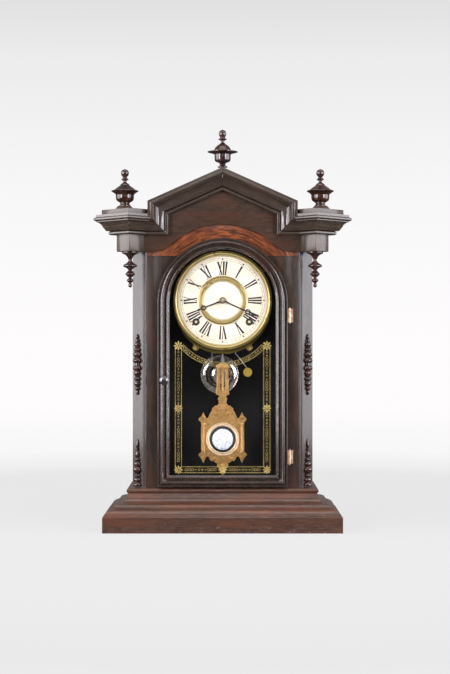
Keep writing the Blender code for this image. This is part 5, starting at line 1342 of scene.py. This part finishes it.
def make_bob():
    """A thin casting: spired corners, ribbed columns, scrolls, and a ring round the foil."""
    rod = middle("pendulum_rod")
    plane = rod.y - FRONT
    face = plane - 0.0042
    centre_z = middle("pendulum_mirror").z
    body = ("gilt", "pendulum", "gilt")
    edge = both_sides(BOB_EDGE)
    slab("bob_casting", edge, face, plane + 0.0042, *body, ("pendulum_bob",), 0.0009, 3)
    slot = ((0.0013, 0.1745), (0.0030, 0.1745), (0.0030, 0.1998), (0.0013, 0.1998))
    slots = [[(sign * x, z) for x, z in slot] for sign in (-1, 1)]
    edge = both_sides(LEADER_EDGE)
    slab("bob_leader", edge, plane - 0.0029, plane - 0.0007, *body, bevel=0.0005, cuts=slots)
    at = (0, FRONT, centre_z)
    rim = [
        [(0.0166, face + 0.0010), (0.0166, face - 0.0012)],
        [(0.0168, face - 0.0018), (0.0177, face - 0.0023), (0.0186, face - 0.0018)],
        [(0.0188, face - 0.0010), (0.0194, face - 0.0009)],
        [(0.0196, face - 0.0014), (0.0203, face - 0.0017), (0.0211, face - 0.0010), (0.0212, face)],
        [(0.0212, face + 0.0010), (0.0166, face + 0.0010)],
    ]
    # The raised rim takes the paler gilt: painted highlight
    turning("bob_rim", rim, at, "Y", "highlit_gilt", "pendulum", "gilt", (), 72)
    dark = [
        [(0.0133, face + 0.0002), (0.0135, face - 0.0012)],
        [(0.0140, face - 0.0018), (0.0156, face - 0.0016), (0.0165, face - 0.0008)],
        [(0.0165, face + 0.0004), (0.0133, face + 0.0002)],
    ]
    turning("bob_dark_ring", dark, at, "Y", "dark_ring", "pendulum", "blued_steel", (), 64)
    lens = [
        [
            (0.0, face - 0.0020),
            (0.0070, face - 0.0016),
            (0.0120, face - 0.0010),
            (0.0134, face - 0.0004),
        ],
        [(0.0134, face + 0.0002), (0.0, face + 0.0002)],
    ]
    turning("foil_disc", lens, at, "Y", "foil", "pendulum", "nickel", ("pendulum_mirror",), 48)
    for sign in (-1, 1):
        column = [
            [(0.0, -0.0190), (0.0030, -0.0190)],
            [(0.0031, -0.0176), (0.0024, -0.0166)],
            [(0.0019, -0.0160), (0.0017, 0.0), (0.0019, 0.0160)],
            [(0.0024, 0.0166), (0.0031, 0.0176)],
            [(0.0030, 0.0190), (0.0, 0.0190)],
        ]
        place = (sign * 0.0242, FRONT + face, centre_z + 0.0012)
        name = "left" if sign < 0 else "right"
        turning(f"bob_column_{name}", column, place, "Z", *body, (), 16)
        for label, x, z, size in BOSSES:
            boss = [
                [(size, face + 0.0006), (size, face - 0.0006)],
                [(size * 0.92, face - 0.0012), (size * 0.7, face - 0.0016), (size * 0.5, face - 0.0010)],
                [(size * 0.42, face - 0.0014), (size * 0.2, face - 0.0022), (0.0, face - 0.0023)],
            ]
            turning(f"bob_{label}_{name}", boss, (sign * x, FRONT, z), "Y", *body, (), 20)
    palm = [
        [
            (0.0044, plane - 0.0028),
            (0.0040, plane - 0.0036),
            (0.0026, plane - 0.0042),
            (0.0, plane - 0.0044),
        ],
    ]
    turning("leader_boss", palm, (0, FRONT, 0.2048), "Y", *body, (), 20)
    drop = [
        [(0.0, -0.0058), (0.0016, -0.0046), (0.0026, -0.0020), (0.0022, 0.0)],
        [(0.0034, 0.0008), (0.0036, 0.0022), (0.0020, 0.0036)],
        [(0.0030, 0.0046), (0.0036, 0.0066), (0.0022, 0.0086), (0.0, 0.0090)],
    ]
    turning("bob_drop", drop, (0, FRONT + face + 0.0006, 0.0735), "Z", *body, (), 20)
    reach = 0.0046
    for count in range(5):
        spread = (count - 2) * radians(22)
        spot = (reach * sin(spread) * 1.3, 0.1478 + reach * cos(spread))
        petal = oval(spot, 0.0026, 0.0010, pi / 2 - spread, 12)
        slab(f"bob_petal_{count + 1}", petal, face - 0.0012, face + 0.0004, *body, bevel=0.0004)


def make_bell():
    """A bell metal dish, nickelled, struck on its rim; its crown faces forward."""
    spot = middle("bell")
    front = LOW["bell"].y - FRONT
    rim = HIGH["bell"].y - FRONT
    radius = HIGH["bell"].x - spot.x
    deep = rim - front
    crown = [(0.0, 0.0), (0.26, 0.04), (0.42, 0.16), (0.53, 0.34)]
    crown += [(0.60, 0.56), (0.70, 0.76), (0.86, 0.88)]
    outer = [(radius * r, front + deep * d) for r, d in crown]
    outer.append((radius - 0.0020, front + deep * 0.90))
    lip = [
        (radius - 0.0018, rim - 0.0018),
        (radius - 0.0008, rim - 0.0022),
        (radius, rim - 0.0012),
        (radius - 0.0006, rim),
    ]
    inner = [(max(0.0, r - 0.0012), d + 0.0013) for r, d in reversed(outer[1:-1])]
    runs = [outer, lip, [(radius - 0.0022, rim), *inner], [(0.0, front + 0.0014)]]
    turning("struck_bell", runs, (spot.x, FRONT, spot.z), "Y", "nickel", "case", "nickel", ("bell",), 72)


def paint_works():
    """CAD pieces that keep their shape take a finish by what they are made of."""
    by_finish = {
        "brass": ["suspension_cock"],
        "hinge": [
            "hinge_upper_case_leaf",
            "hinge_lower_case_leaf",
            "hinge_upper_door_leaf",
            "hinge_lower_door_leaf",
        ],
        # The works take brass painted darker, as shade within the case
        "wheels": [
            "front_plate",
            "back_plate",
            "time_great_wheel",
            "strike_great_wheel",
            "time_second_wheel",
            "centre_wheel",
            "fourth_wheel",
            "escape_wheel",
            "strike_second_wheel",
            "strike_cam_wheel",
            "strike_fly",
        ],
        "nickel": ["time_winding_arbor", "strike_winding_arbor"],
        "steel": [
            "time_mainspring",
            "strike_mainspring",
            "verge",
            "strike_trip_wire",
            "pendulum_rod",
            "bell_stand",
        ],
        "hammer": ["hammer"],
    }
    for material, nodes in by_finish.items():
        for node in nodes:
            paint(node, material)


# ---------------------------------------------------------------- floor, light and camera

def make_floor():
    """A wide sheet of pale matt paper that takes a faint shadow and melts into the backdrop; its glow is
    greyer within about a metre of the clock and whiter beyond, which is painted shade round the clock.
    """
    made, tree = new_material("matt_paper_floor")
    place = add(tree, "TexCoord", {}).outputs["Object"]
    away = add(tree, "VectorMath", {0: place}, operation="LENGTH").outputs["Value"]
    # Greyer near the clock, whiter far off: painted shade round the clock
    stops = [(0.0, "#ededed"), (0.10, "#e9e9e9"), (0.14, "#f0f0f0"), (0.19, "#f8f7f7"), (0.48, "#fefcfd")]
    share = add(tree, "MapRange", {0: away, 1: 0.2, 2: 6.0}).outputs[0]
    tone = add(tree, "ValToRGB", {0: share}, stops).outputs[0]
    ray = add(tree, "LightPath", {}).outputs
    bright = add(tree, "MapRange", {0: ray["Is Camera Ray"], 3: 0.25}).outputs[0]
    dull = add(tree, "MapRange", {0: ray["Is Glossy Ray"], 3: 1.0, 4: 0.2}).outputs[0]
    strength = add(tree, "Math", {0: bright, 1: dull}, operation="MULTIPLY").outputs[0]
    glow = add(tree, "Emission", {"Color": tone, "Strength": strength})
    paper = add(tree, "BsdfDiffuse", {"Color": colour("#c8c8c8")})
    near = add(tree, "MapRange", {0: away, 1: 0.3, 2: 0.9, 3: 0.16, 4: 0.0}).outputs[0]
    shader = add(tree, "MixShader", {0: near, 1: glow.outputs[0], 2: paper.outputs[0]})
    add(tree, "OutputMaterial", {"Surface": shader.outputs[0]})
    bm = bmesh.new()
    bmesh.ops.create_grid(bm, x_segments=8, y_segments=8, size=60)
    mesh = bpy.data.meshes.new("floor")
    bm.to_mesh(mesh)
    bm.free()
    floor = bpy.data.objects.new("floor", mesh)
    floor.location.z = -0.0002
    mesh.materials.append(made)
    bpy.context.scene.collection.objects.link(floor)


def make_world():
    """White paper behind, and a grey room with a dark front wall for the clock to reflect."""
    world = bpy.data.worlds.new("studio")
    world.use_nodes = True
    tree = world.node_tree
    tree.nodes.clear()
    towards = add(tree, "TexCoord", {}).outputs["Generated"]
    parts = add(tree, "SeparateXYZ", {0: towards}).outputs
    rise = add(tree, "MapRange", {0: parts["Z"], 2: 0.25}).outputs[0]
    stops = [(0.0, "#fefcfd"), (0.40, "#f8f7f8"), (0.74, "#ececec"), (0.90, "#e0e0e0"), (1.0, "#dadada")]
    tone = add(tree, "ValToRGB", {0: rise}, stops).outputs[0]
    seen = add(tree, "Background", {"Color": tone, "Strength": 1.0})
    ahead = add(tree, "MapRange", {0: parts["Y"], 1: -0.95, 2: -0.45, 3: 0.03, 4: 0.34}).outputs[0]
    room = add(tree, "Background", {"Color": colour("#dcdfe8"), "Strength": ahead})
    ray = add(tree, "LightPath", {}).outputs["Is Camera Ray"]
    both = add(tree, "MixShader", {0: ray, 1: room.outputs[0], 2: seen.outputs[0]})
    add(tree, "OutputWorld", {"Surface": both.outputs[0]})
    bpy.context.scene.world = world


def soft_box(name, at, size, power, tint, target=(0, 0, 0.24)):
    data = bpy.data.lights.new(name, "AREA")
    data.shape = "RECTANGLE"
    data.size, data.size_y = size
    data.energy = power
    data.color = colour(tint)[:3]
    lamp = bpy.data.objects.new(name, data)
    bpy.context.scene.collection.objects.link(lamp)
    lamp.location = at
    aim = Vector(target) - Vector(at)
    lamp.rotation_euler = aim.to_track_quat("-Z", "Y").to_euler()


def make_lights():
    """Broad boxes give the sheen, and narrow strips beside them the crisp lines on every bead."""
    soft_box("broad_box_left", (-1.50, -0.60, 0.50), (1.9, 1.5), 42, "#fcfbff", (0, -0.60, 0.3))
    soft_box("broad_box_right", (1.50, -0.60, 0.50), (1.9, 1.5), 38, "#f8f8ff", (0, -0.60, 0.3))
    soft_box("strip_left", (-1.25, -1.35, 0.50), (0.24, 1.3), 22, "#f8f5ff")
    soft_box("strip_right", (1.25, -1.35, 0.50), (0.24, 1.3), 20, "#f8f5ff")
    soft_box("overhead", (0.0, -0.5, 1.6), (1.6, 1.0), 10, "#ffffff")
    soft_box("fill", (0.0, -2.4, 1.1), (0.8, 0.8), 4, "#ffffff")


def make_camera():
    data = bpy.data.cameras.new("camera")
    data.sensor_fit = "VERTICAL"
    data.sensor_height = 36
    data.lens = 78.6
    camera = bpy.data.objects.new("camera", data)
    camera.location = (0.0030, FRONT - 1.85, 0.2425)
    camera.rotation_euler = (radians(90), 0, 0)
    bpy.context.scene.collection.objects.link(camera)
    bpy.context.scene.camera = camera


make_camera()
make_world()
make_lights()
make_floor()
make_base()
make_crown()
make_boards()
make_pilasters()
make_turnings()
make_door()
make_stencil()
make_dial()
make_hands()
make_bob()
make_bell()
paint_works()
bpy.context.scene.view_settings.view_transform = "Standard"
